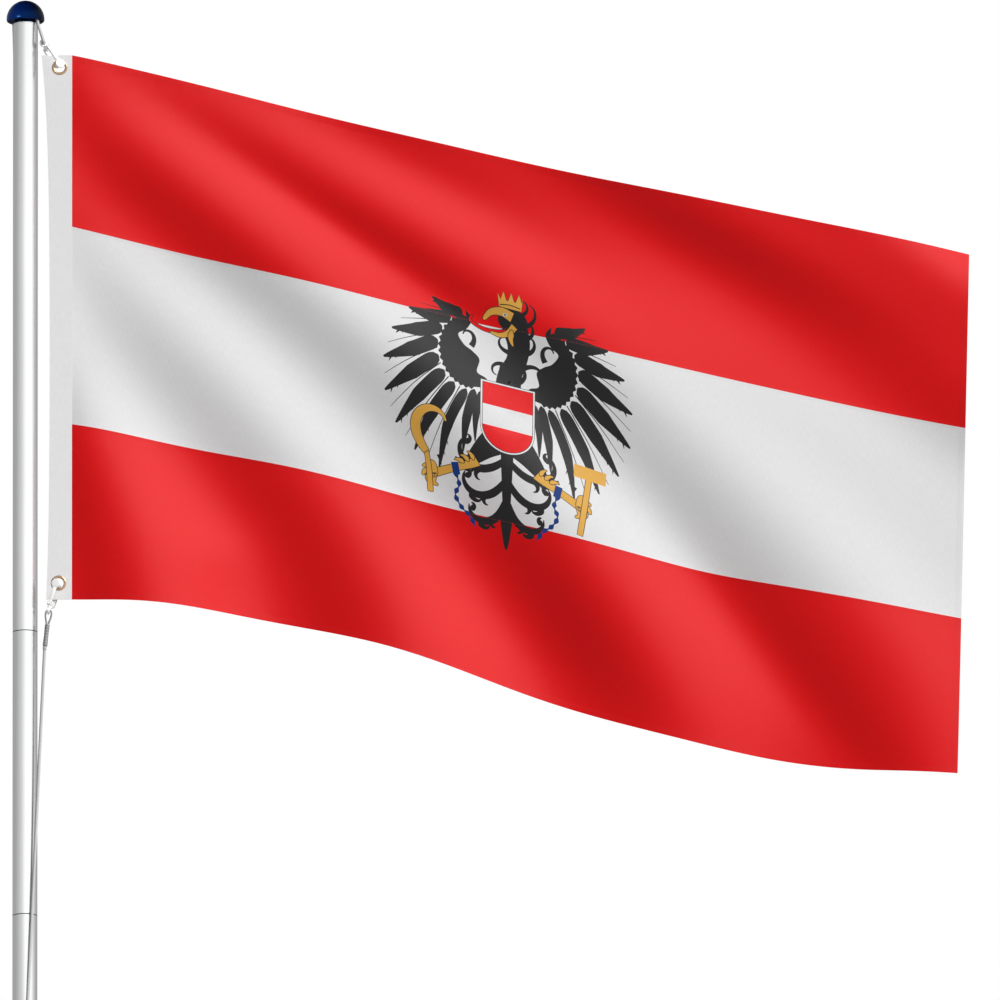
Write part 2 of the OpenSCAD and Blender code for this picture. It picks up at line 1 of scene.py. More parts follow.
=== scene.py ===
"""Sectional flagpole with a flag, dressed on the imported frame.

Metres, +Z up, +X from the pole towards the flag's fly, origin on the pole's axis at ground level.
"""

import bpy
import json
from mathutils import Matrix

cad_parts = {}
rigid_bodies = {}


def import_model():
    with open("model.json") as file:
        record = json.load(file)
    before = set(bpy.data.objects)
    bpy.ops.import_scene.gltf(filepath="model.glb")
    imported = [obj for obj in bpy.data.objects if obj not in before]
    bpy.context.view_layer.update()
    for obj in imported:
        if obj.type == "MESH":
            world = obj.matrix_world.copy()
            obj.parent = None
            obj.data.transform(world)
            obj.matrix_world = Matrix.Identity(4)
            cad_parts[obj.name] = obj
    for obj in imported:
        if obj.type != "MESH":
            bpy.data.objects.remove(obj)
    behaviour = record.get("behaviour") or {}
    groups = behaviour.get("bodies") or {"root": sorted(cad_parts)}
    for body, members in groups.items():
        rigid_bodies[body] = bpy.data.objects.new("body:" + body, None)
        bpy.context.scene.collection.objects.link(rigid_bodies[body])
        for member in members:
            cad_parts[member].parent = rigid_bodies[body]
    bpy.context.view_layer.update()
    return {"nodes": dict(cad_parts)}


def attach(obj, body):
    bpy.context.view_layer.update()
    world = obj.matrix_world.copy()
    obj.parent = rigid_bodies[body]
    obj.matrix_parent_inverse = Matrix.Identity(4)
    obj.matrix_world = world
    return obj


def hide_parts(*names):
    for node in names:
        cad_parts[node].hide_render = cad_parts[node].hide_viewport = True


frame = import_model()

import cmath
import json
import logging
import math
from dataclasses import dataclass, field
from enum import Enum
from typing import Callable, ClassVar, Sequence

import bmesh
import bpy
import numpy as np
from mathutils import Matrix, Quaternion, Vector
from mathutils.geometry import delaunay_2d_cdt

log = logging.getLogger("flagpole")
MM = 0.001
POLE_R = 20 * MM
LONG, SHORT, LAST = 1.180, 0.467, 1.007  # showing lengths of the four lower sections, the fifth and the sixth
SECTION_Z = [4 * MM + LONG * i for i in range(5)]
TOP_Z = SECTION_Z[4] + SHORT
POLE_TOP = TOP_Z + LAST
HEAD_Z = POLE_TOP + 3 * MM
FLY, HOIST = 1.500, 0.900
FLAG_TOP = POLE_TOP - 55.6 * MM
HOIST_AT = 75.3 * MM
FLAG_Y = -13 * MM
CLEAT_Z = 1.300
WAVE = math.tau / 20  # length of a Wave texture's period at scale 1
Socket = bpy.types.NodeSocket
Point = tuple[float, float]


# ---------------------------------------------------------------- finishes

class Nodes:
    """A material's or a world's node tree, with short ways to add and join nodes."""

    def __init__(self, owner: bpy.types.Material | bpy.types.World) -> None:
        """Turns the owner's nodes on.

        Args:
            owner: the material or the world.
        """
        owner.use_nodes = True
        self.tree = owner.node_tree
        self.shader = self.tree.nodes.get("Principled BSDF")

    def add(self, kind: str, **values: object) -> bpy.types.Node:
        """Adds a node and sets its properties or sockets.

        Args:
            kind: the node's type without its ShaderNode prefix.
            **values: property names, or socket names with underscores for spaces.

        Returns:
            The new node.
        """
        node = self.tree.nodes.new("ShaderNode" + kind)
        for key, value in values.items():
            if hasattr(node, key):
                setattr(node, key, value)
            else:
                node.inputs[key.replace("_", " ")].default_value = value
        return node

    def join(self, value: object, into: Socket) -> None:
        """Links a socket to another, or gives the other a value.

        Args:
            value: the socket to link, or the value.
            into: the socket that gets it.
        """
        if isinstance(value, Socket):
            self.tree.links.new(value, into)
        else:
            into.default_value = value

    def set(self, **values: object) -> None:
        """Feeds the shader's sockets by name, with underscores for spaces."""
        for key, value in values.items():
            self.join(value, self.shader.inputs[key.replace("_", " ")])

    def math(self, operation: str, *inputs: object) -> Socket:
        """Adds a Math node.

        Args:
            operation: what it works out.
            *inputs: sockets or numbers, in order.

        Returns:
            The result's socket.
        """
        node = self.add("Math", operation=operation)
        for socket, value in zip(node.inputs, inputs):
            self.join(value, socket)
        return node.outputs[0]

    def mix(self, factor: object, first: object, second: object, blend: str = "MIX") -> Socket:
        """Mixes two colours.

        Args:
            factor: the share of the second one.
            first: a colour of four values, or a socket.
            second: another one.
            blend: how they mix.

        Returns:
            The mixed colour's socket.
        """
        node = self.add("Mix", data_type="RGBA", blend_type=blend)
        for index, value in ((0, factor), (6, first), (7, second)):
            self.join(value, node.inputs[index])
        return node.outputs[2]

    def place(self, scale: Sequence[float], uv: bool = False) -> Socket:
        """Object or UV coordinates, scaled.

        Args:
            scale: the scale along each axis.
            uv: whether the piece's UV map is read instead of its Object coordinates.

        Returns:
            The vector socket.
        """
        where = self.add("UVMap") if uv else self.add("TexCoord")
        mapping = self.add("Mapping", Scale=tuple(scale))
        self.join(where.outputs["UV" if uv else "Object"], mapping.inputs["Vector"])
        return mapping.outputs["Vector"]

    def noise(self, scale: Sequence[float], detail: float = 3.0, uv: bool = False) -> Socket:
        """Noise between 0 and 1 at that scale.

        Args:
            scale: how many cells to the metre along each axis.
            detail: the noise's octaves.
            uv: whether it follows the piece's UV map.

        Returns:
            The value socket.
        """
        node = self.add("TexNoise", Scale=1.0, Detail=detail)
        self.join(self.place(scale, uv), node.inputs["Vector"])
        return node.outputs["Fac"]

    def spread(self, value: Socket, low: float, high: float, start: float = 0.3, stop: float = 0.7) -> Socket:
        """Maps a value to a range, clamped.

        Args:
            value: the value to map.
            low: the result where the value is start.
            high: the result where the value is stop.
            start: the lower end read.
            stop: the upper end read.

        Returns:
            The mapped value's socket.
        """
        node = self.add("MapRange", From_Min=start, From_Max=stop, To_Min=low, To_Max=high)
        self.join(value, node.inputs["Value"])
        return node.outputs["Result"]

    def tint(self, value: Socket, dark: Sequence[float], light: Sequence[float]) -> None:
        """Mixes the base colour from a dark and a light one by a value from 0 to 1."""
        self.set(Base_Color=self.mix(value, (*dark, 1), (*light, 1)))

    def bump(self, value: Socket, depth: float) -> None:
        """Adds relief over whatever relief is there.

        Args:
            value: the height, from 0 to 1.
            depth: the height of 1, in metres.
        """
        node = self.add("Bump", Distance=depth, Strength=1.0)
        self.join(value, node.inputs["Height"])
        here = self.shader.inputs["Normal"]
        if here.links:
            self.join(here.links[0].from_socket, node.inputs["Normal"])
        self.join(node.outputs["Normal"], here)


@dataclass(frozen=True)
class Finish:
    """What a surface is finished with. Its subclasses dress it."""

    name: str
    color: tuple[float, float, float]
    roughness: float = 0.5
    made: ClassVar[dict[str, bpy.types.Material]] = {}

    def material(self) -> bpy.types.Material:
        """The material, made once.

        Returns:
            The material.
        """
        if self.name not in self.made:
            made = self.made[self.name] = bpy.data.materials.new(self.name)
            nodes = Nodes(made)
            nodes.set(Base_Color=(*self.color, 1), Roughness=self.roughness)
            self.dress(nodes)
            made.diffuse_color = (*self.color, 1)
        return self.made[self.name]

    def shades(self, spread: float) -> tuple[list[float], list[float]]:
        """The colour a little darker and a little lighter."""
        return [c * (1 - spread) for c in self.color], [min(1.0, c * (1 + spread)) for c in self.color]

    def dress(self, nodes: Nodes) -> None:
        """Adds the finish's detail to its nodes."""
        nodes.tint(nodes.noise((30, 30, 30)), *self.shades(0.04))


@dataclass(frozen=True)
class Anodised(Finish):
    """Satin anodised aluminium with fine lines drawn along the tube."""

    def dress(self, nodes: Nodes) -> None:
        """Lines along the tube, and faint cloudy patches.

        Args:
            nodes: the material's nodes.
        """
        nodes.set(Metallic=1.0)
        lines = nodes.noise((900, 900, 1.2), 4)
        clouds = nodes.noise((14, 14, 5), 3)
        nodes.tint(nodes.spread(clouds, 0, 1), *self.shades(0.025))
        nodes.set(Roughness=nodes.spread(lines, self.roughness - 0.04, self.roughness + 0.05))
        nodes.bump(lines, 4e-6)


@dataclass(frozen=True)
class Metal(Finish):
    """Bare metal with tarnish in soft patches."""

    tarnish: float = 0.2

    def dress(self, nodes: Nodes) -> None:
        """Tarnish and fine scratches.

        Args:
            nodes: the material's nodes.
        """
        nodes.set(Metallic=1.0)
        patches = nodes.noise((260, 260, 260), 4)
        nodes.tint(nodes.spread(patches, 0, 1), *self.shades(self.tarnish))
        nodes.set(Roughness=nodes.spread(patches, self.roughness + 0.12, self.roughness))
        nodes.bump(nodes.noise((2500, 2500, 2500), 2), 8e-6)


@dataclass(frozen=True)
class Moulded(Finish):
    """Moulded plastic, with a fine grain."""

    grain: float = 1e-5
    coat: float = 0.0
    specular: float = 0.5
    tint: tuple[float, float, float] = (1.0, 1.0, 1.0)

    def dress(self, nodes: Nodes) -> None:
        """Grain, slight flow marks and, on a glossy piece, a coat.

        Args:
            nodes: the material's nodes.
        """
        nodes.set(Coat_Weight=self.coat, Coat_Roughness=0.06, Specular_IOR_Level=self.specular,
                  Specular_Tint=(*self.tint, 1))
        nodes.tint(nodes.spread(nodes.noise((70, 70, 25), 3), 0, 1), *self.shades(0.035))
        nodes.bump(nodes.noise((3000, 3000, 3000), 2), self.grain)
        nodes.bump(nodes.noise((160, 160, 160), 1), self.grain * 3)


@dataclass(frozen=True)
class Woven(Finish):
    """Woven polyester, with its threads along the piece's UV map in metres."""

    thread: float = 0.0007
    sheen: float = 0.05
    specular: float = 0.2

    def dress(self, nodes: Nodes) -> None:
        """Warp and weft, slubs and a soft sheen.

        Args:
            nodes: the material's nodes.
        """
        nodes.set(Sheen_Weight=self.sheen, Sheen_Roughness=0.45, Specular_IOR_Level=self.specular)
        count = WAVE / self.thread
        threads = []
        for axis in "XY":
            wave = nodes.add("TexWave", bands_direction=axis, wave_type="BANDS", Scale=1.0, Distortion=0.0)
            nodes.join(nodes.place((count, count, 1), True), wave.inputs["Vector"])
            threads.append(wave.outputs["Fac"])
        nodes.bump(nodes.math("MAXIMUM", *threads), self.thread * 0.12)
        nodes.bump(nodes.noise((55, 55, 1), 3, True), 0.0002)
        slubs = nodes.noise((700, 90, 1), 2, True)
        nodes.tint(nodes.spread(slubs, 0, 1), *self.shades(0.03))


@dataclass(frozen=True)
class Braided(Finish):
    """Braided cord, with its strands along the piece's UV map: turns across, metres along."""

    pitch: float = 0.012
    strands: int = 8
    relief_shade: float = 0.14

    def dress(self, nodes: Nodes) -> None:
        """Two sets of strands that cross, with painted shade in the dips between them and painted highlight on their
        crests, and a soft fuzz.

        Args:
            nodes: the material's nodes.
        """
        nodes.set(Sheen_Weight=0.2, Sheen_Roughness=0.5, Specular_IOR_Level=0.25)
        split = nodes.add("SeparateXYZ")
        nodes.join(nodes.add("UVMap").outputs["UV"], split.inputs[0])
        across, along = split.outputs[:2]
        ridges = []
        for way in (1, -1):
            turn = nodes.math("MULTIPLY", across, way * self.strands / 2)
            run = nodes.math("MULTIPLY_ADD", along, self.strands / 2 / self.pitch, turn)
            ridges.append(nodes.math("PINGPONG", run, 0.5))
        height = nodes.spread(nodes.math("MULTIPLY", *ridges), 0, 1, 0.0, 0.2)
        # painted shade and highlight: the strands are darker in the dips between them and lighter on their crests,
        # following the relief
        nodes.tint(height, *self.shades(self.relief_shade))
        nodes.bump(height, 0.0003)


@dataclass(frozen=True)
class Ribbed(Finish):
    """Shrunk tube with cord ribs that show through it."""

    pitch: float = 0.0048

    def dress(self, nodes: Nodes) -> None:
        """Pale and dark turns along the tube.

        Args:
            nodes: the material's nodes.
        """
        nodes.set(Coat_Weight=0.3, Coat_Roughness=0.2)
        wave = nodes.add("TexWave", bands_direction="Z", wave_type="BANDS", Scale=1.0, Distortion=0.3)
        nodes.join(nodes.place((1, 1, WAVE / self.pitch)), wave.inputs["Vector"])
        dark, light = [c * 0.85 for c in self.color], [c * 1.2 for c in self.color]
        nodes.tint(wave.outputs["Fac"], dark, light)
        nodes.bump(wave.outputs["Fac"], 0.0003)


POLE_METAL = Anodised("satin anodised tube", (0.84, 0.845, 0.85), 0.27)
# dark finish for the bevels at each joint: painted shade for the groove between two lengths of tube
JOINT_PAINTED_SHADE = Anodised("painted shade in a joint", (0.09, 0.09, 0.095), 0.5)
SLEEVE_METAL = Anodised("satin sleeve", (0.70, 0.71, 0.72), 0.36)
COLLAR_BLACK = Moulded("collar plastic", (0.022, 0.022, 0.024), 0.5)
CAP_BLUE = Moulded("navy cap plastic", (0.0002, 0.0048, 0.037), 0.2, 2e-6, 0.0, 0.2, (0.12, 0.45, 1.0))
NYLON = Moulded("white nylon", (0.95, 0.95, 0.94), 0.34, 8e-6, 0.15)
CLEAT_NYLON = Moulded("cleat nylon", (0.74, 0.74, 0.72), 0.42, 1.5e-5)
PIN_STEEL = Metal("plain steel", (0.56, 0.56, 0.57), 0.3, 0.08)
HEADING = Woven("heading cloth", (0.735, 0.73, 0.735), 0.5)
BRASS = Metal("grommet brass", (0.38, 0.25, 0.155), 0.2, 0.3)
CORD = Braided("halyard braid", (0.66, 0.66, 0.65), 0.8)
LOOP_CORD = Braided("loop cord", (0.42, 0.42, 0.43), 0.8, 0.008, 8, 0.3)
SHRUNK = Ribbed("shrunk sleeve", (0.27, 0.27, 0.275), 0.36)
THREAD = Finish("sewing thread", (0.66, 0.66, 0.66), 0.6)
RED_THREAD = Finish("red sewing thread", (0.42, 0.02, 0.025), 0.6)


class Ink(Enum):
    """The cloth's colours, each a finish of the same weave."""

    RED = Woven("red cloth", (0.80, 0.0045, 0.0065), 0.40, sheen=0.0, specular=0.18)
    WHITE = Woven("white cloth", (0.82, 0.815, 0.82), 0.5, sheen=0.05, specular=0.2)
    BLACK = Woven("black print", (0.006, 0.005, 0.0055), 0.36, sheen=0.0, specular=0.22)
    GOLD = Woven("gold print", (0.78, 0.42, 0.075), 0.45, sheen=0.0, specular=0.2)
    BLUE = Woven("blue print", (0.003, 0.036, 0.20), 0.45, sheen=0.0, specular=0.2)


# ---------------------------------------------------------------- making pieces

def smooth(bm: bmesh.types.BMesh, angle: float = 32.0) -> None:
    """Shades the faces smooth, and keeps the edges sharp that turn more than the angle.

    Args:
        bm: the mesh.
        angle: the widest turn, in degrees, that stays smooth.
    """
    for face in bm.faces:
        face.smooth = True
    for edge in bm.edges:
        edge.smooth = len(edge.link_faces) == 2 and edge.calc_face_angle(0.0) < math.radians(angle)


def piece(name: str, bm: bmesh.types.BMesh, finish: Finish, slot: str, nodes: Sequence[str] = (),
          angle: float = 32.0, body: str = "root") -> bpy.types.Object:
    """Makes an object of a mesh, with its finish, its body and the nodes that it stands for.

    Args:
        name: the piece's name.
        bm: its mesh, in place; it is freed.
        finish: its finish.
        slot: the material slot of the record.
        nodes: the nodes it replaces.
        angle: the widest turn, in degrees, that is shaded smooth.
        body: the body it rides on.

    Returns:
        The object.
    """
    smooth(bm, angle)
    mesh = bpy.data.meshes.new(name)
    bm.to_mesh(mesh)
    bm.free()
    mesh.materials.append(finish.material())
    return place(name, mesh, slot, nodes, body)


def place(name: str, mesh: bpy.types.Mesh, slot: str, nodes: Sequence[str], body: str = "root") -> bpy.types.Object:
    """Links a finished mesh as a piece, and reports it.

    Args:
        name: the piece's name.
        mesh: its mesh, in place.
        slot: the material slot of the record; not used.
        nodes: the nodes it replaces.
        body: the body it rides on.

    Returns:
        The object.
    """
    obj = bpy.data.objects.new(name, mesh)
    bpy.context.scene.collection.objects.link(obj)
    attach(obj, body)
    if nodes:
        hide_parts(*nodes)
    log.info("%s: %d faces on %s, for %s", name, len(mesh.polygons), body, ", ".join(nodes) or "no node")
    return obj


def at(x: float, y: float, z: float, angle: float = 0.0, axis: str = "X") -> Matrix:
    """Matrix that turns a shape round an axis, by an angle in degrees, and moves it there."""
    return Matrix.Translation((x, y, z)) @ Matrix.Rotation(math.radians(angle), 4, axis)


def lathe(profile: Sequence[Point], where: Matrix = Matrix(), steps: int = 96,
          into: bmesh.types.BMesh | None = None) -> bmesh.types.BMesh:
    """Turns a closed or axis-to-axis profile round Z.

    Args:
        profile: radius and height of each point, in metres.
        where: where the turned shape goes.
        steps: facets round it.
        into: a mesh to add the shape to.

    Returns:
        The mesh.
    """
    bm = bmesh.new()
    points = [bm.verts.new((r, 0, z)) for r, z in profile]
    edges = [bm.edges.new(pair) for pair in zip(points, points[1:])]
    if profile[0][0] > 1e-7 or profile[-1][0] > 1e-7:
        edges.append(bm.edges.new((points[-1], points[0])))
    bmesh.ops.spin(bm, geom=points + edges, cent=(0, 0, 0), axis=(0, 0, 1), angle=math.tau, steps=steps, use_merge=True)
    bmesh.ops.remove_doubles(bm, verts=bm.verts, dist=1e-7)
    bmesh.ops.recalc_face_normals(bm, faces=bm.faces)
    bmesh.ops.transform(bm, matrix=where, verts=bm.verts)
    return merged(bm, into)


def merged(bm: bmesh.types.BMesh, into: bmesh.types.BMesh | None) -> bmesh.types.BMesh:
    """Adds one mesh to another and frees it.

    Args:
        bm: the mesh.
        into: the mesh that it goes into, if any.

    Returns:
        The mesh that holds it.
    """
    if into is None:
        return bm
    mesh = bpy.data.meshes.new("part")
    bm.to_mesh(mesh)
    bm.free()
    into.from_mesh(mesh)
    bpy.data.meshes.remove(mesh)
    return into


def circle(x: float, z: float, r: float, count: int = 32, start: float = 0.0, stop: float = 360.0) -> list[Point]:
    """Points of a circle or of an arc.

    Args:
        x: its middle, across.
        z: its middle, up.
        r: its radius.
        count: how many points it has.
        start: its first angle, in degrees.
        stop: its last angle.

    Returns:
        The points.
    """
    full = abs(stop - start) >= 360
    angles = [math.radians(start + (stop - start) * i / (count if full else count - 1)) for i in range(count)]
    return [(x + r * math.cos(a), z + r * math.sin(a)) for a in angles]


def round_corner(middle: Point, radius: float, start: float, stop: float, steps: int = 6) -> list[Point]:
    """Arc for a profile's rounded corner, between two angles in degrees."""
    return circle(*middle, radius, steps + 1, start, stop)


def plate(outlines: Sequence[Sequence[Point]], thick: float, bevel: float, where: Matrix,
          into: bmesh.types.BMesh | None = None) -> bmesh.types.BMesh:
    """Slab of an outline, with holes, that stands on edge: x across, z up, y through it.

    Args:
        outlines: the outer outline, and then any holes.
        thick: its thickness.
        bevel: the width of its rounded edges.
        where: where it goes.
        into: a mesh to add it to.

    Returns:
        The mesh.
    """
    bm = bmesh.new()
    edges = []
    for outline in outlines:
        ring = [bm.verts.new((x, -thick / 2, z)) for x, z in outline]
        edges += [bm.edges.new(pair) for pair in zip(ring, ring[1:] + ring[:1])]
    bmesh.ops.triangle_fill(bm, edges=edges, use_beauty=True, use_dissolve=True)
    up = bmesh.ops.extrude_face_region(bm, geom=bm.faces[:])
    bmesh.ops.translate(bm, vec=(0, thick, 0), verts=[v for v in up["geom"] if isinstance(v, bmesh.types.BMVert)])
    bmesh.ops.recalc_face_normals(bm, faces=bm.faces)
    sharp = [e for e in bm.edges if len(e.link_faces) == 2 and e.calc_face_angle(0) > math.radians(50)]
    bmesh.ops.bevel(bm, geom=sharp, offset=bevel, offset_type="OFFSET", segments=3, profile=0.5,
                    affect="EDGES", clamp_overlap=True, material=-1)
    bmesh.ops.transform(bm, matrix=where, verts=bm.verts)
    return merged(bm, into)


# ---------------------------------------------------------------- studio

@dataclass
class Studio:
    """Camera, floor, light and background."""

    rise: float = 13.0
    aim: tuple[float, float, float] = (0.7640, 0.0, 5.4085)
    lens: float = 1700.0
    roll: float = -0.0016
    span: float = 1.609
    key_strength: float = 3.75
    back_strength: float = 0.9
    panel_power: float = 70.0
    front_strength: float = 0.6
    fill: float = 0.10
    sensor: float = 36.0
    ring: tuple[Point, ...] = (
        (0.0, 0.05), (0.03, 0.05), (0.05, 0.42), (0.25, 0.44), (0.33, 0.60), (0.43, 0.84), (0.50, 1.24),
        (0.53, 1.31), (0.67, 1.31), (0.73, 0.90), (0.80, 0.56), (0.87, 0.41), (0.95, 0.40), (0.97, 0.05))

    def camera(self) -> None:
        """Camera below the flag, straight in front of the pole."""
        data = bpy.data.cameras.new("camera")
        data.lens = self.lens
        data.sensor_width = self.sensor
        distance = self.span * self.lens / self.sensor
        data.clip_start = 1.0
        data.clip_end = distance * 4
        look = Vector((0, math.cos(math.radians(self.rise)), math.sin(math.radians(self.rise))))
        camera = bpy.data.objects.new("camera", data)
        camera.location = Vector(self.aim) - look * distance
        camera.rotation_euler = (look.to_track_quat("-Z", "Y") @ Quaternion((0, 0, 1), self.roll)).to_euler()
        bpy.context.scene.collection.objects.link(camera)
        bpy.context.scene.camera = camera

    def floor(self) -> None:
        """Plain pale floor round the pole's foot."""
        bm = bmesh.new()
        bmesh.ops.create_circle(bm, cap_ends=True, segments=96, radius=6.0)
        mesh = bpy.data.meshes.new("floor")
        bm.to_mesh(mesh)
        bm.free()
        pale = bpy.data.materials.new("pale floor")
        Nodes(pale).set(Base_Color=(0.86, 0.86, 0.86, 1), Roughness=0.9)
        mesh.materials.append(pale)
        floor = bpy.data.objects.new("floor", mesh)
        bpy.context.scene.collection.objects.link(floor)

    def lamp(self, name: str, kind: str, side: float, rise: float, energy: float, lit: Sequence[bpy.types.Object],
             state: str = "INCLUDE", far: float = 0.0) -> bpy.types.Object:
        """A lamp aimed at the cap, round the upright axis.

        Args:
            name: the lamp's name.
            kind: SUN or AREA.
            side: degrees to the right of the camera, seen from the pole.
            rise: degrees above the horizon.
            energy: its strength.
            lit: the objects that it lights, or leaves out.
            state: INCLUDE, or EXCLUDE where it lights every other object.
            far: its distance from the cap.

        Returns:
            The lamp.
        """
        turn, lift = math.radians(side), math.radians(rise)
        out = Vector((math.sin(turn) * math.cos(lift), -math.cos(turn) * math.cos(lift), math.sin(lift)))
        data = bpy.data.lights.new(name, kind)
        data.energy = energy
        lamp = bpy.data.objects.new(name, data)
        lamp.location = Vector((0, 0, HEAD_Z)) + out * far
        lamp.rotation_euler = (-out).to_track_quat("-Z", "Y").to_euler()
        bpy.context.scene.collection.objects.link(lamp)
        lamp.light_linking.receiver_collection = self.group(name + "_lit", lit, state)
        return lamp

    @staticmethod
    def group(name: str, members: Sequence[bpy.types.Object], state: str) -> bpy.types.Collection:
        """Collection for light linking.

        Args:
            name: its name.
            members: its objects.
            state: INCLUDE, or EXCLUDE where every other object is meant.

        Returns:
            The collection.
        """
        made = bpy.data.collections.new(name)
        for k, member in enumerate(members):
            made.objects.link(member)
            made.collection_objects[k].light_linking.link_state = state
        return made

    def lamps(self) -> None:
        """Soft key from the upper right; weak lights for the cloth's back, for hooks and heading, and for the cap."""
        objects = bpy.data.objects
        tubes = [o for o in objects if o.name.startswith("tube_")]
        hooks = [o for o in objects if "_snap_" in o.name]
        cap, cloth, band = objects["domed_cap"], objects["flag_cloth"], objects["heading_band"]
        key = self.lamp("key", "SUN", 45, 38, self.key_strength, [cap, *tubes], "EXCLUDE")
        key.light_linking.blocker_collection = self.group("no_shade", hooks, "EXCLUDE")
        back = self.lamp("back", "SUN", 200, 30, self.back_strength, [cloth])
        front = self.lamp("front", "SUN", -20, 0, self.front_strength, [band, *hooks])
        for lamp, wide in ((key, 34), (back, 50), (front, 60)):
            lamp.data.angle = math.radians(wide)
        panel = self.lamp("panel", "AREA", -42, -9, self.panel_power, [cap], far=1.6)
        panel.data.shape = "RECTANGLE"
        panel.data.size, panel.data.size_y = 0.5, 1.1

    def background(self) -> None:
        """White behind the object, and a pale studio with greyer sides in its reflections."""
        world = bpy.data.worlds.new("studio")
        bpy.context.scene.world = world
        nodes = Nodes(world)
        nodes.tree.nodes.clear()
        split = nodes.add("SeparateXYZ")
        nodes.join(nodes.add("TexCoord").outputs["Generated"], split.inputs[0])
        east, north, up = split.outputs
        turn = nodes.math("ARCTAN2", east, nodes.math("MULTIPLY", north, -1.0))
        ramp = nodes.add("ValToRGB")
        nodes.join(nodes.math("MULTIPLY_ADD", turn, 1 / math.tau, 0.5), ramp.inputs[0])
        stops = ramp.color_ramp.elements
        for i, (share, level) in enumerate(self.ring):
            stop = stops[i] if i < 2 else stops.new(share)
            stop.position = share
            stop.color = (level, level, level, 1)
        # the studio's ceiling and floor are dark
        dim = nodes.add("MapRange", interpolation_type="SMOOTHSTEP", From_Min=0.45, From_Max=0.85, To_Min=1.0,
                        To_Max=0.06)
        nodes.join(nodes.math("ABSOLUTE", up), dim.inputs[0])
        room = nodes.mix(1.0, ramp.outputs[0], dim.outputs[0], "MULTIPLY")
        ray = nodes.add("LightPath").outputs
        mirror = nodes.mix(ray["Is Glossy Ray"], (self.fill, self.fill, self.fill, 1), room)
        seen = nodes.math("MAXIMUM", ray["Is Camera Ray"], ray["Is Transmission Ray"])
        light = nodes.add("Background")
        nodes.join(nodes.mix(seen, mirror, (1, 1, 1, 1)), light.inputs["Color"])
        nodes.join(light.outputs[0], nodes.add("OutputWorld").inputs[0])

    def build(self) -> None:
        """Sets up the whole studio."""
        bpy.context.scene.view_settings.view_transform = "Standard"
        self.camera()
        self.floor()
        self.background()


# ---------------------------------------------------------------- halyard

@dataclass
class SnapHookPlace:
    """Where one snap hook hangs: its bend, its lean, and the parts that it is made of."""

    name: str
    hole: Vector
    tilt: float
    swivel_turn: float
    hook_y: float = FLAG_Y - 1.2 * MM
    bend_seat: float = 3 * MM
    length: float = 45 * MM
    turn: float = -20.0

    @property
    def way(self) -> Vector:
        """Direction from the bend to the eye."""
        lean = math.radians(self.tilt)
        return Vector((math.sin(lean), 0, math.cos(lean)))

    @property
    def bend(self) -> Vector:
        """Middle of the bend's outer edge."""
        return Vector((self.hole.x, self.hook_y, self.hole.z)) + self.way * self.bend_seat

    @property
    def eye(self) -> Vector:
        """Middle of the swivel's eye."""
        return self.bend + self.way * self.length

    def matrix(self) -> Matrix:
        """From the hook's own frame, x across and z towards the eye, to its place."""
        return at(*self.bend, self.tilt, "Y") @ at(0, 0, 0, 90 - self.turn, "Z")


UPPER = SnapHookPlace("upper", Vector((HOIST_AT - 20 * MM, FLAG_Y, FLAG_TOP - 20.2 * MM)), -32.7, -110.0)
LOWER = SnapHookPlace("lower", Vector((HOIST_AT - 21.4 * MM, FLAG_Y, FLAG_TOP - HOIST + 27 * MM)), 198.7, -20.0)


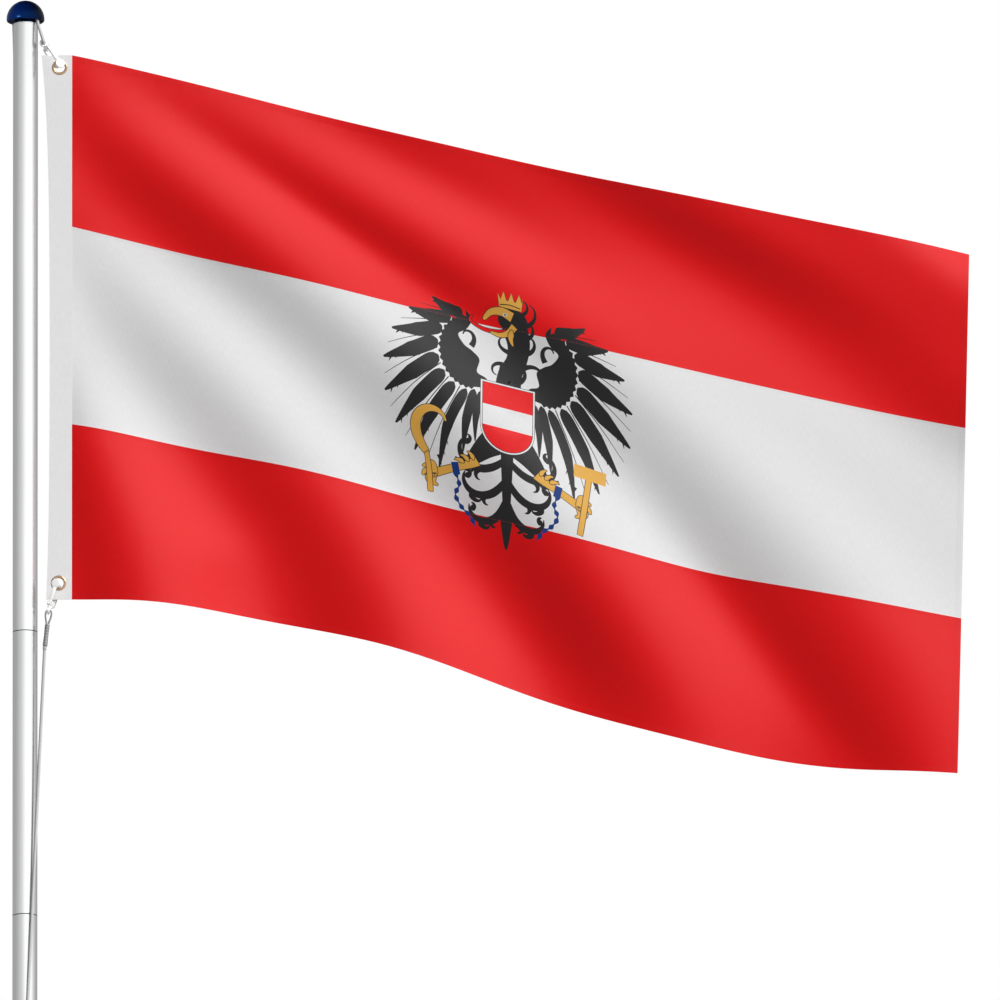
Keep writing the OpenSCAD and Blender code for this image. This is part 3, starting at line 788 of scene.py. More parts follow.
@dataclass
class Halyard:
    """One taut rope from the upper hook over the sheave, down to the cleat and up to the lower hook."""

    rope_r: float = 2.5 * MM
    wrap_r: float = 22.7 * MM
    sheave_turn: float = -38.0
    sheave_rope_r: float = 12 * MM
    sheave_z: float = 17 * MM
    hole_at: float = 24 * MM
    crimp_from: float = 23 * MM
    crimp_len: float = 36 * MM
    crimp_tilt: float = 6.2
    eye_t: float = 4 * MM
    turn_step: float = 5.0
    lead: ClassVar[Vector] = Vector((0, 2, 12)) * MM  # from the cleat's turn to where the rope leaves for the pole

    def in_sheave(self, out: float, up: float) -> Vector:
        """Point in the sheave's upright plane, out from the pole's axis and up from the truck's underside."""
        a = math.radians(self.sheave_turn)
        return Vector((out * math.cos(a), out * math.sin(a), HEAD_Z + up))

    def on_pole(self, angle: float, z: float) -> Vector:
        """Point of the rope where it lies on the pole."""
        a = math.radians(angle)
        return Vector((self.wrap_r * math.cos(a), self.wrap_r * math.sin(a), z))

    def leave(self, p: Vector, way: int) -> float:
        """Angle, in degrees, at which a straight run to p leaves the pole."""
        return math.degrees(math.atan2(p.y, p.x) + way * math.acos(self.wrap_r / math.hypot(p.x, p.y)))

    def straight(self, p: Vector) -> float:
        """Level length of a straight run from the pole to p."""
        return math.sqrt(p.x ** 2 + p.y ** 2 - self.wrap_r ** 2)

    def arc(self, a: float, b: float) -> float:
        """Length round the pole between two angles in degrees."""
        return abs(math.radians(a - b)) * self.wrap_r

    @staticmethod
    def eased(points: Sequence[Vector], passes: int = 3) -> list[Vector]:
        """Cuts a line's corners, and keeps both its ends.

        Args:
            points: the line's points.
            passes: how often its corners are cut.

        Returns:
            The smoother line.
        """
        line = list(points)
        for _ in range(passes):
            cut = [line[0]]
            for a, b in zip(line, line[1:]):
                cut += [a.lerp(b, 0.25), a.lerp(b, 0.75)]
            line = cut + [line[-1]]
        return line

    @staticmethod
    def eight(t: float) -> Vector:
        """The figure-of-eight turn on the cleat.

        Args:
            t: an angle from 45 to 315 degrees.

        Returns:
            Its point there.
        """
        # its growth each turn, half its width and height, and how far out it lies and bulges, in millimetres
        rise, wide, tall, out, deep = 5.4, 12, 38, 29, 19.5
        a = math.radians(t)
        return Vector((-(wide + rise * t / 360) * math.sin(2 * a),
                       -(out + (deep + rise * (t - 45) / 180) * math.sin(a) ** 2),
                       CLEAT_Z / MM + (tall + rise * t / 360) * math.cos(a))) * MM

    def crimp_way(self) -> Vector:
        """Direction of the halyard below the lower hook."""
        a = math.radians(self.crimp_tilt)
        return Vector((-math.sin(a), 0, -math.cos(a)))

    def down_start(self) -> Vector:
        """Where the halyard leaves the lower hook's sleeve."""
        return LOWER.eye + self.crimp_way() * (self.crimp_from + self.crimp_len + 6 * MM)

    def wrap(self, first: float, last: float, z: Callable[[float], float]) -> list[Vector]:
        """The rope's lazy turn on the pole.

        Args:
            first: the angle at which it starts, in degrees.
            last: the angle at which it ends.
            z: its height at an angle.

        Returns:
            Its points.
        """
        steps = math.ceil(abs(last - first) / self.turn_step)
        angles = [first + (last - first) * i / steps for i in range(steps + 1)]
        return [self.on_pole(a, z(a)) for a in angles]

    def up_route(self) -> list[Vector]:
        """From the upper eye over the sheave and down to the cleat.

        Returns:
            The rope's points.
        """
        eye, r = UPPER.eye, self.sheave_rope_r
        clear = self.eye_t / 2 + self.rope_r + 0.6 * MM
        around = [math.radians(a) for a in range(-10, 191, 10)]
        over = [self.in_sheave(r * math.cos(a), self.sheave_z + r * math.sin(a)) for a in around]
        hole = [(self.hole_at, -3 * MM), (self.hole_at, 4.5 * MM)]
        knot = self.eased([eye + Vector((0, self.eye_t / 2, 0)), eye - Vector((0, clear, 0)),
                           eye - Vector((1.5 * MM, clear, -7 * MM)), *(self.in_sheave(*p) for p in hole), over[0]])
        start = self.eight(45)
        first, top = 180 + self.sheave_turn, POLE_TOP - 40 * MM
        last = self.leave(start, 1)
        slope = (top - start.z) / (self.arc(first, last) + self.straight(start))
        wrap = self.wrap(first, last, lambda a: top - slope * self.arc(first, a))
        back = self.eased([over[-1], *(self.in_sheave(-out, up) for out, up in hole[::-1]), wrap[0]])
        return knot + over[1:-1] + back + wrap[1:] + [start + self.lead]

    def down_route(self) -> list[Vector]:
        """From the cleat up and round the pole to the lower hook.

        Returns:
            The rope's points.
        """
        end, start = self.eight(315), self.down_start()
        first, last = self.leave(end, 1) - 360, self.leave(start, -1)
        level = self.straight(end)
        slope = (start.z - end.z) / (self.straight(start) + self.arc(last, first) + level)
        wrap = self.wrap(first, last, lambda a: end.z + slope * (level + self.arc(first, a)))
        return [end + self.lead, *wrap, start, start - self.crimp_way() * 8 * MM]

    @staticmethod
    def cord(name: str, route: Sequence[Vector], radius: float, finish: Finish, nodes: Sequence[str],
             sides: int = 16, closed: bool = False) -> bpy.types.Object:
        """Round cord along a route, with metres along its UV map.

        Args:
            name: the piece's name.
            route: the points it follows.
            radius: its radius.
            finish: its finish.
            nodes: the nodes it replaces.
            sides: facets round it.
            closed: whether it joins its own start.

        Returns:
            The object.
        """
        data = bpy.data.curves.new(name, "CURVE")
        data.dimensions = "3D"
        data.bevel_depth = radius
        data.bevel_resolution = sides // 2 - 2
        data.use_fill_caps = not closed
        spline = data.splines.new("POLY")
        spline.points.add(len(route) - 1)
        spline.use_cyclic_u = closed
        for point, p in zip(spline.points, route):
            point.co = (*p, 1)
        curve = bpy.data.objects.new(name + "_route", data)
        bpy.context.scene.collection.objects.link(curve)
        mesh = bpy.data.meshes.new_from_object(curve.evaluated_get(bpy.context.evaluated_depsgraph_get()))
        bpy.data.objects.remove(curve)
        line = list(route) + ([route[0]] if closed else [])
        run = np.concatenate(([0.0], np.cumsum([(b - a).length for a, b in zip(line, line[1:])])))
        for corner in mesh.uv_layers[0].data:
            corner.uv = (corner.uv.y, float(np.interp(corner.uv.x * (len(line) - 1), range(len(line)), run)))
        mesh.materials.clear()
        mesh.materials.append(finish.material())
        for face in mesh.polygons:
            face.use_smooth = True
        mesh.name = name
        log.info("%s is %.2f m long", name, run[-1])
        return place(name, mesh, "halyard_cord", nodes)

    def stopper(self) -> None:
        """Knot behind the upper eye, that keeps the rope in it."""
        middle = UPPER.eye + Vector((0, self.eye_t / 2 + 3.4 * MM, 0))
        line = []
        for k in range(72):
            a = math.radians(5 * k)
            line.append(middle + Vector(((math.sin(a) + 2 * math.sin(2 * a)) * 1.15, -math.sin(3 * a) * 1.3,
                                         (math.cos(a) - 2 * math.cos(2 * a)) * 1.15)) * MM)
        self.cord("upper_stopper", line, 1.9 * MM, CORD, ["upper_knot"], 12, True)

    def sleeve_frame(self, along: float) -> Matrix:
        """Frame at a distance below the lower eye, with z down the halyard."""
        return at(*LOWER.eye, 180 + self.crimp_tilt, "Y") @ Matrix.Translation((0, 0, along))

    def loop(self) -> None:
        """Cord loop through the lower eye, its shrunk sleeve and the whipping under it."""
        r, begin, long = 1.5 * MM, self.crimp_from, self.crimp_len
        near, wide = r + 0.1 * MM, self.eye_t / 2 + r + 0.6 * MM
        half = [(near, begin + long - 8 * MM), (near, begin + 1 * MM), (near, begin - 2 * MM), (wide + 1 * MM, 9 * MM),
                (wide, 0.0)]
        local = [(-x, 0, z) for x, z in half] + [(0, 0, 0.6 * MM)] + [(x, 0, z) for x, z in half[::-1]]
        route = self.eased([Vector(p) for p in local])
        here = self.sleeve_frame(0)
        self.cord("lower_cord_loop", [here @ p for p in route], r, LOOP_CORD, ["lower_loop"], 12)
        out, inner = 3.9 * MM, 3.2 * MM
        lip = out - 0.5 * MM
        waist = [(out - 0.35 * MM * math.sin(math.pi * i / 20) ** 2 + 0.12 * MM * math.sin(i * 2.2),
                  long * (0.04 + 0.92 * i / 20)) for i in range(21)]
        profile = [(inner, 0.0), (lip, 0.0), *waist, (lip, long), (inner, long)]
        sleeve = lathe(profile, self.sleeve_frame(begin), 32)
        piece("rope_shrink_sleeve", sleeve, SHRUNK, "shrink_sleeve", ["rope_sleeve"])
        coils = bmesh.new()
        for k in range(4):
            where = self.sleeve_frame(begin + long + (2 + k) * MM)
            lathe(circle(self.rope_r + 0.4 * MM, 0, 0.5 * MM, 10), where, 32, coils)
        piece("rope_whipping_turns", coils, THREAD, "halyard_cord", ["rope_whipping"], 60)

    def build(self) -> None:
        """Makes every part of the halyard."""
        up, down = self.up_route(), self.down_route()
        turns = [self.eight(t) for t in range(45, 316, 9)]
        self.cord("halyard_rising", up + turns[:1], self.rope_r, CORD, ["halyard_up"])
        self.cord("halyard_on_cleat", up[-1:] + turns + down[:1], self.rope_r * 0.998, CORD, ["cleat_turns"])
        self.cord("halyard_falling", turns[-1:] + down, self.rope_r, CORD, ["halyard_down"])
        self.stopper()
        self.loop()


# ---------------------------------------------------------------- pole, cap and foot

@dataclass
class Pole:
    """Six lengths of tube, each with a reduced neck in the one above."""

    wall: float = 1.2 * MM
    neck: float = 80 * MM
    neck_gap: float = 0.15 * MM
    bevel: float = 0.7 * MM
    swage: float = 8 * MM

    def section(self, index: int, z: float, length: float, neck: bool) -> None:
        """One length of tube, with painted shade in the bevels where it meets the next.

        Args:
            index: its number from the ground up.
            z: its foot's height.
            length: its showing length.
            neck: whether it has a neck at its top.
        """
        r, bore, b = POLE_R, POLE_R - self.wall, self.bevel
        neck_r = bore - self.neck_gap
        profile = [(bore, 0.0)] + round_corner((r - b, b), b, -90, 0, 4)
        profile += round_corner((r - b, length - b), b, 0, 90, 4)
        if neck:
            top, inner = length + self.neck, neck_r - self.wall
            profile += [(neck_r, length), (neck_r, top - b), (neck_r - b, top), (inner, top), (inner, length),
                        (bore, length - self.swage)]
        else:
            profile += [(bore, length)]
        tube = lathe(profile, Matrix.Translation((0, 0, z)), 128)
        # the outer bevel faces at each end get the joint's painted shade, a dark colour standing in for the shadow in
        # the groove
        for face in tube.faces:
            middle = face.calc_center_median()
            near_end = abs(abs(middle.z - z - length / 2) - length / 2) < b
            face.material_index = int(near_end and math.hypot(middle.x, middle.y) > bore)
        made = piece(f"tube_{index}", tube, POLE_METAL, "pole_aluminium", [f"pole_section_{index}"], 50)
        made.data.materials.append(JOINT_PAINTED_SHADE.material())

    def build(self) -> None:
        """Makes all six lengths."""
        for index, z in enumerate(SECTION_Z[:4], 1):
            self.section(index, z, LONG, True)
        self.section(5, SECTION_Z[4], SHORT, True)
        self.section(6, TOP_Z, LAST, False)


@dataclass
class Foot:
    """Ground sleeve's head with its seat, and the collar on its mouth."""

    height: float = 80 * MM
    wall: float = 2.5 * MM
    seat: float = 4 * MM
    gap: float = 0.4 * MM
    collar: float = 16 * MM
    lip: float = 3 * MM

    def build(self) -> None:
        """Makes the sleeve and the collar."""
        r = POLE_R + self.gap + self.wall
        inner, b, lean = r - self.wall, 0.6 * MM, 3 * MM
        sleeve = [(0, 0), (r - b, 0)] + round_corner((r - b, b), b, -90, 0, 3)[1:] + [
            (r, self.height), (inner, self.height), (inner, self.seat), (0, self.seat)]
        piece("sleeve_head", lathe(sleeve), SLEEVE_METAL, "sleeve_aluminium", ["ground_sleeve"])
        out, base, top = r + self.lip, self.height - self.collar + 4 * MM, self.height + 4 * MM
        ring = [(r, base)] + round_corner((out - b, base + b), b, -90, 0, 3)
        for k in range(3):
            z, deep = base + (4.5 + 2.6 * k) * MM, out - 0.5 * MM
            ring += [(out, z - 0.7 * MM), (deep, z - 0.4 * MM), (deep, z + 0.4 * MM), (out, z + 0.7 * MM)]
        ring += round_corner((out - lean, top - lean), lean, 0, 90, 6)
        ring += [(POLE_R + 0.1 * MM, top), (POLE_R + 0.1 * MM, self.height), (r, self.height)]
        piece("sleeve_collar_ring", lathe(ring), COLLAR_BLACK, "collar_black", ["sleeve_collar"], 40)


@dataclass
class Cap:
    """Domed cap over a truck that carries the halyard's sheave."""

    r: float = 30.6 * MM
    skirt: float = 4 * MM
    wall: float = 2.4 * MM
    edge: float = 3 * MM

    def build(self) -> None:
        """Makes the hollow dome with its rounded lower edge, and dresses the truck, the sheave and its axle."""
        inner, rim = self.r - self.wall, self.r - self.edge
        shell = [(inner, 0.0), (rim, 0.0)] + round_corner((rim, self.edge), self.edge, -90, 0, 8)[1:]
        shell += round_corner((0, self.skirt), self.r, 0, 90, 40)
        shell[-1] = (0.0, self.skirt + self.r)
        inside = round_corner((0, self.skirt), inner, 90, 0, 30)
        inside[0] = (0.0, self.skirt + inner)
        dome = lathe(shell + inside, Matrix.Translation((0, 0, HEAD_Z)), 128)
        piece("domed_cap", dome, CAP_BLUE, "cap_blue", ["cap_dome"], 45)
        for node, finish in (("truck", CAP_BLUE), ("pulley_wheel", NYLON), ("pulley_pin", PIN_STEEL)):
            dress_node(node, finish)


@dataclass
class Cleat:
    """Belaying cleat with two horns, on a foot that fits the tube."""

    length: float = 120 * MM
    off: float = 20 * MM
    foot: float = 56 * MM
    screw_at: float = 20 * MM
    horn_r: float = 5 * MM

    def build(self) -> None:
        """Makes the cleat and its two screws."""
        saddle, foot_w, foot_y, stem_y = POLE_R + 0.1 * MM, 8 * MM, POLE_R + 4 * MM, POLE_R + 10 * MM
        reach = math.degrees(math.asin(foot_w / saddle))
        outline = [(foot_w, foot_y), (-foot_w, foot_y)] + circle(0, 0, saddle, 9, 90 + reach, 90 - reach)
        bm = plate([outline], self.foot, 1.4 * MM, at(0, 0, CLEAT_Z, 90))
        stem = [(y - stem_y, x) for x, y in self.stem_outline()]
        plate([stem], 8 * MM, 2 * MM, at(0, -stem_y, CLEAT_Z, -90, "Z"), bm)
        half, tip = self.length / 2, 3.5 * MM
        side = [(self.horn_r - (self.horn_r - tip) * (k / 12) ** 1.4, (half - tip) * k / 12) for k in range(13)]
        end = round_corner((0, half - tip), tip, 0, 90, 6)[1:]
        profile = [(max(r, 0.0), -z) for r, z in (side + end)[::-1]] + side[1:] + end
        profile[0], profile[-1] = (0.0, -half), (0.0, half)
        lathe(profile, Matrix.Translation((0, -POLE_R - self.off, CLEAT_Z)), 32, bm)
        piece("belaying_cleat", bm, CLEAT_NYLON, "cleat_nylon", ["cleat"], 40)
        screws = bmesh.new()
        screw = [(0, 0.7 * MM), (1.3 * MM, 0.7 * MM), (1.5 * MM, 1.8 * MM)]
        screw += round_corner((2.2 * MM, 0.6 * MM), 1.2 * MM, 90, 0, 5)
        screw += [(3.4 * MM, 0), (2 * MM, 0), (2 * MM, -10 * MM), (0, -10 * MM)]
        for way in (-1, 1):
            lathe(screw, at(0, -foot_y, CLEAT_Z + way * self.screw_at, 90), 24, screws)
        piece("cleat_screw_pair", screws, PIN_STEEL, "pin_steel", ["cleat_screws"], 40)

    def stem_outline(self) -> list[Point]:
        """Outline of the stem seen from the side.

        Returns:
            Points up the tube and out from it, with a waist.
        """
        near, far = POLE_R + 1.5 * MM, POLE_R + self.off
        rows = [near + (far - near) * k / 12 for k in range(13)]
        half = [(13 - 4.5 * math.sin(math.pi * k / 12)) * MM for k in range(13)]
        return list(zip(half, rows)) + [(-h, y) for h, y in zip(half[::-1], rows[::-1])]


# ---------------------------------------------------------------- snap hooks

@dataclass
class SnapHook:
    """Swivel snap hook with a sprung gate. Its own x runs across it, its z from the bend to the eye."""

    place: SnapHookPlace
    width: float = 22.0
    bar: float = 5.0
    thick: float = 6.0
    ring_z: float = 8.5
    nose_z: float = 8.8
    block_z: float = 32.0
    eye_z: float = 45.0
    pin_x: float = -8.3
    disc: tuple[float, float, float] = (7.5, 3.0, 0.5)

    @staticmethod
    def sized(points: Sequence[Point]) -> list[Point]:
        """The points, from millimetres to metres."""
        return [(x * MM, z * MM) for x, z in points]

    def slab(self, outlines: Sequence[Sequence[Point]], thick: float, bevel: float, where: Matrix,
             into: bmesh.types.BMesh | None = None) -> bmesh.types.BMesh:
        """Slab of outlines given in millimetres."""
        return plate([self.sized(o) for o in outlines], thick * MM, bevel * MM, where, into)

    def body(self, here: Matrix) -> bmesh.types.BMesh:
        """Bent bar, block, the two cheeks that hold the gate's pin, and the disc on the nose.

        Args:
            here: the hook's own frame.

        Returns:
            The mesh.
        """
        half, inner, block = self.width / 2, self.width / 2 - self.bar, self.block_z
        low, high = block + 3.2, block + 6
        outline = [(-inner, self.nose_z), (-half, self.nose_z)] + circle(0, self.ring_z, half, 33, 180, 360)
        outline += [(half, block + 4), (half - 3, high), (3 - half, high), (-half, block + 4), (-half, low),
                    (-5.1, low), (-5.1, block), (inner, block)] + circle(0, self.ring_z, inner, 25, 360, 180)
        bm = self.slab([outline], self.thick, 0.9, here)
        cheek = circle(self.pin_x, block, 2.7, 13, 180, 360) + [(-5.1, block), (-5.1, low), (-half, low)]
        for side in (-1, 1):
            self.slab([cheek], 1.4, 0.3, here @ Matrix.Translation((0, side * 2.3 * MM, 0)), bm)
        r, t, up = self.disc
        disc = [(0, 0)] + round_corner((r - 1, 1), 1, -90, 0, 4) + round_corner((r - 1, t - 1), 1, 0, 90, 4) + [(0, t)]
        return lathe(self.sized(disc), here @ at(-half * MM, 0, up * MM, 90, "Y"), 48, bm)

    def gate(self, here: Matrix) -> bmesh.types.BMesh:
        """Gate's bar, and its tongue with the pin's hole.

        Args:
            here: the hook's own frame.

        Returns:
            The mesh.
        """
        half, inner, block = self.width / 2, self.width / 2 - self.bar, self.block_z
        bar = [(-half, 9.3), (-inner, 9.3), (-inner, block - 3.1), (-half, block - 3.1)]
        tongue = circle(self.pin_x, block, 2.5, 13, 0, 180)
        tongue += [(self.pin_x - 2.5, block - 6), (self.pin_x + 2.5, block - 6)]
        bm = self.slab([bar], self.thick, 0.9, here)
        return self.slab([tongue, circle(self.pin_x, block, 1.05, 16)], 3.0, 0.15, here, bm)

    def swivel(self, here: Matrix) -> bmesh.types.BMesh:
        """Shank with its two collars, and the eye.

        Args:
            here: the hook's own frame.

        Returns:
            The mesh.
        """
        low, high = self.block_z, self.block_z + 6
        shank = [(0, low - 2.6), (3.3, low - 2.6), (3.6, low - 2.3), (3.6, low - 0.5), (3.3, low - 0.2),
                 (2.3, low - 0.2), (2.3, high + 0.2), (4.0, high + 0.2), (4.3, high + 0.5), (4.3, high + 1.9),
                 (4.0, high + 2.2), (0, high + 2.2)]
        bm = lathe(self.sized(shank), here, 32)
        eye = circle(0, self.eye_z, 6.5, 33, -52, 232) + [(-4, high + 1), (4, high + 1)]
        turned = here @ at(0, 0, 0, self.place.swivel_turn, "Z")
        return self.slab([eye, circle(0, self.eye_z, 3.4, 28)], 4.0, 1.1, turned, bm)

    def pin(self, here: Matrix) -> bmesh.types.BMesh:
        """Gate's pin, with rounded ends.

        Args:
            here: the hook's own frame.

        Returns:
            The mesh.
        """
        half = self.thick / 2 + 0.15
        profile = [(0, -half), (0.8, -half), (1, 0.2 - half), (1, half - 0.2), (0.8, half), (0, half)]
        return lathe(self.sized(profile), here @ at(self.pin_x * MM, 0, self.block_z * MM, 90), 24)

    def build(self) -> None:
        """Makes the hook's four parts; only the gate rides on a body of its own."""
        name, here = self.place.name, self.place.matrix()
        for part, bm, node, body in (("body", self.body(here), "hook", "root"),
                                     ("gate", self.gate(here), "gate", f"{name}_gate"),
                                     ("swivel", self.swivel(here), "swivel", "root")):
            piece(f"{name}_snap_{part}", bm, NYLON, "nylon_white", [f"{name}_{node}"], 40, body)
        piece(f"{name}_snap_pin", self.pin(here), PIN_STEEL, "pin_steel", [f"{name}_pin"], 40)


def dress_node(node: str, finish: Finish) -> None:
    """Gives a CAD node its finish.

    Args:
        node: the node's name.
        finish: its finish.
    """
    mesh = frame["nodes"][node].data
    mesh.materials.clear()
    mesh.materials.append(finish.material())


# ---------------------------------------------------------------- emblem

@dataclass(frozen=True)
class Patch:
    """One printed shape: its ink, and its outline in millimetres from the shield's middle, x to the fly, y down."""

    ink: Ink
    outline: tuple[complex, ...]


def curve_through(knots: Sequence[complex], count: int = 8) -> list[complex]:
    """Smooth line through some knots.

    Args:
        knots: the points it passes.
        count: its steps between two knots.

    Returns:
        The line's points.
    """
    line: list[complex] = []
    for i in range(len(knots) - 1):
        before, a, b, after = knots[max(i - 1, 0)], knots[i], knots[i + 1], knots[min(i + 2, len(knots) - 1)]
        for k in range(count):
            t = k / count
            line.append(0.5 * (2 * a + (b - before) * t + (2 * before - 5 * a + 4 * b - after) * t * t
                               + (3 * a - before - 3 * b + after) * t ** 3))
    return line + [knots[-1]]


def brush(knots: Sequence[complex], half: Callable[[float], float], count: int = 8) -> tuple[complex, ...]:
    """Outline of a brush stroke.

    Args:
        knots: the points that its middle passes.
        half: half its width at a share of its length from 0 to 1.
        count: its steps between two knots.

    Returns:
        The closed outline.
    """
    line = curve_through(knots, count)
    last = len(line) - 1
    left, right = [], []
    for i, p in enumerate(line):
        side = 1j * unit(line[min(i + 1, last)] - line[max(i - 1, 0)]) * half(i / last)
        left.append(p + side)
        right.append(p - side)
    return tuple(left + right[::-1])


def leaf(width: float) -> Callable[[float], float]:
    """Half width of a feather that is widest at a third of its length."""
    return lambda t: width * 0.5 * (0.06 + min(1.0, t / 0.3) ** 0.8 * min(1.0, max(0.0, (1 - t) / 0.7)) ** 0.75)


def blade(width: float) -> Callable[[float], float]:
    """Half width of a long feather that keeps its width almost to its tip."""
    return lambda t: width * 0.5 * (0.12 + 0.88 * min(1.0, t / 0.16) ** 0.5 * min(1.0, max(0.0, (1 - t) / 0.5)) ** 1.05)


def taper(start: float, end: float) -> Callable[[float], float]:
    """Half width of a stroke that narrows evenly."""
    return lambda t: 0.5 * (start + (end - start) * t)


def scroll(start: complex, angle: float, length: float, turn: float, count: int = 9) -> list[complex]:
    """Middle of a curl that winds tighter towards its end.

    Args:
        start: its root.
        angle: its first direction, in degrees from the fly, positive downwards.
        length: its length.
        turn: how far it turns in all, in degrees.
        count: how many points it has.

    Returns:
        The points.
    """
    points = [start]
    for i in range(count - 1):
        way = math.radians(angle + turn * ((i + 0.5) / (count - 1)) ** 1.7)
        points.append(points[-1] + cmath.rect(length / (count - 1), way))
    return points


def unit(way: complex) -> complex:
    """The way, one long."""
    return way / (abs(way) or 1.0)


def grown(outline: Sequence[complex], by: float) -> list[complex]:
    """An outline moved outwards, for a line round a shape.

    Args:
        outline: the shape's outline.
        by: how far it moves.

    Returns:
        The wider outline.
    """
    ring = list(outline)
    befores, afters = ring[-1:] + ring[:-1], ring[1:] + ring[:1]
    area = sum((a.conjugate() * b).imag for a, b in zip(ring, afters))
    out = -1j if area > 0 else 1j
    return [p + out * by * unit(after - before) for before, p, after in zip(befores, ring, afters)]


def polar(middle: complex, across: float, up: float, angle: float) -> complex:
    """Point of an ellipse at an angle, in degrees, from straight up towards the hoist."""
    return middle - complex(across * math.sin(math.radians(angle)), up * math.cos(math.radians(angle)))


@dataclass
class Bird:
    """Heraldic bird in the layout of state arms: shield, coronet, sickle, hammer and broken chains."""

    primaries: int = 8
    line: float = 1.1
    patches: list[Patch] = field(default_factory=list)

    def add(self, ink: Ink, outline: Sequence[complex], both: bool = False) -> None:
        """Prints a shape, on both sides if asked. Gold and red ones have a thin black line round them.

        Args:
            ink: its ink.
            outline: its outline.
            both: whether its mirror image is printed too.
        """
        if ink in (Ink.GOLD, Ink.RED) and len(outline) > 4:
            self.add(Ink.BLACK, grown(outline, self.line), both)
        self.patches.append(Patch(ink, tuple(outline)))
        if both:
            self.patches.append(Patch(ink, tuple(complex(-p.real, p.imag) for p in outline)))

    def stroke(self, ink: Ink, knots: Sequence[complex], half: Callable[[float], float], both: bool = True,
               count: int = 8) -> None:
        """Prints a brush stroke, and its mirror image if asked."""
        self.add(ink, brush(knots, half, count), both)

    def wings(self) -> None:
        """Two spread wings: a ragged shoulder each, long feathers, and thin quills between them."""
        shoulder, spread, last = -68 - 100j, -86 - 38j, self.primaries - 1
        ragged = [polar(shoulder, 46 + 4 * (i % 2), 60 + 4 * (i % 2), 4 + 190 * i / 34) for i in range(35)]
        inner = curve_through([-30 - 47j, -36 - 62j, -52 - 70j, -48 - 92j, -60 - 104j, -74 - 112j, -84 - 128j,
                               -70 - 140j, -62 - 158j, -72 - 172j], 6)
        self.add(Ink.BLACK, ragged + inner, True)
        self.stroke(Ink.BLACK, scroll(-62 - 112j, -60, 44, -210), taper(10, 2))
        for i in range(self.primaries):
            t = i / last
            root, tip = polar(shoulder, 51, 65, 10 + 168 * t), polar(spread, 124, 152, 20 + 147 * t)
            way = tip - root
            bent = root + way * (0.5 - 1j * (0.09 - 0.15 * t))
            self.stroke(Ink.BLACK, [root, bent, tip], blade(11 + 14 * math.sin(math.pi * min(1, 0.2 + 0.66 * t))))
            for k in range(3):
                spot = root + way * (0.62 + 0.12 * k) - 1j * way * (0.075 - 0.13 * t)
                self.stroke(Ink.BLACK, [spot, spot + way * (0.09 - 0.07j)], taper(5.5, 0.5), count=2)
            if i:
                s = t - 0.5 / last
                root, tip = polar(shoulder, 51, 65, 10 + 168 * s), polar(spread, 121, 148, 20 + 147 * s)
                self.stroke(Ink.BLACK, [root, root + (tip - root) * (0.5 + 0.02j), tip], taper(1.8, 0.8))
        for k in range(2):
            root, tip = complex(-56 + 12 * k, -38), complex(-74 + 20 * k, 74 - 22 * k)
            self.stroke(Ink.BLACK, [root, (root + tip) / 2 - 4, tip], blade(15 - 3 * k))

    def tail(self) -> None:
        """Fan of curled plumes below the shield."""
        self.stroke(Ink.BLACK, [36j, 90j, 150j, 196j], lambda t: 10 * (1 - t) ** 0.7 + 2, False)
        self.stroke(Ink.BLACK, [150j, 186j, 222j], leaf(20), False)
        for k in range(3):
            line = scroll(complex(-3, 72 + 36 * k), 136 - 14 * k, 122 - 14 * k, 190 - 10 * k, 13)
            self.stroke(Ink.BLACK, line, lambda t: 5.8 * math.sin(math.pi * min(1.0, 0.2 + 0.82 * t)) ** 0.8 + 0.9)
            for root, angle, length, turn in ((4, 170, 34, -170), (8, 90, 34, -150), (11, 10, 26, -190)):
                self.stroke(Ink.BLACK, scroll(line[root], angle - 10 * k, length - 4 * k, turn, 7), leaf(10))

    def legs(self) -> None:
        """Feathered thighs, gold legs and claws, the broken chains on them, and the sickle and hammer they hold."""
        self.stroke(Ink.BLACK, [-16 + 40j, -38 + 60j, -66 + 92j], lambda t: 24 * (1 - t) ** 0.6 + 2)
        for k in range(4):
            root = complex(-30 - 9 * k, 62 + 7 * k)
            self.stroke(Ink.BLACK, scroll(root, 130 + 6 * k, 42 - 3 * k, 80, 6), leaf(13))
        self.stroke(Ink.GOLD, [-50 + 84j, -62 + 92j, -90 + 104j, -120 + 118j], lambda t: 9 - 10 * t + 8 * t * t)
        for k in range(3):
            self.stroke(Ink.GOLD, scroll(complex(-56 - 8 * k, 84 + 4 * k), -110 - 20 * k, 17, -60, 5), leaf(7))
        for k in range(5):
            root, first = -122 + 119j, math.radians(96 + 42 * k)
            knee = root + cmath.rect(15, first)
            self.stroke(Ink.GOLD, [root, knee, knee + cmath.rect(9, first - 1.1)], taper(12, 3))
        self.stroke(Ink.BLUE, [-88 + 94j, -84 + 114j], taper(12, 12), count=4)
        self.stroke(Ink.GOLD, [-128 + 152j, -131 + 112j, -136 + 84j], taper(9, 7), False)
        sickle = scroll(-136 + 86j, -128, 124, 205, 15)
        self.stroke(Ink.GOLD, sickle, lambda t: 7.5 * math.sin(math.pi * (0.22 + 0.76 * t)) + 0.6, False)
        self.stroke(Ink.GOLD, [124 + 168j, 131 + 120j, 139 + 56j], taper(9, 9), False, 4)
        self.add(Ink.GOLD, [113 + 46j, 167 + 50j, 166 + 72j, 112 + 68j])
        for s in (-1, 1):
            knots = [complex(s * x, y) for x, y in ((86, 112), (80, 130), (86, 148), (76, 166), (62, 178), (52, 194))]
            self.stroke(Ink.BLUE, knots, lambda t: 2.6 + 1.7 * math.sin(44 * t), False)

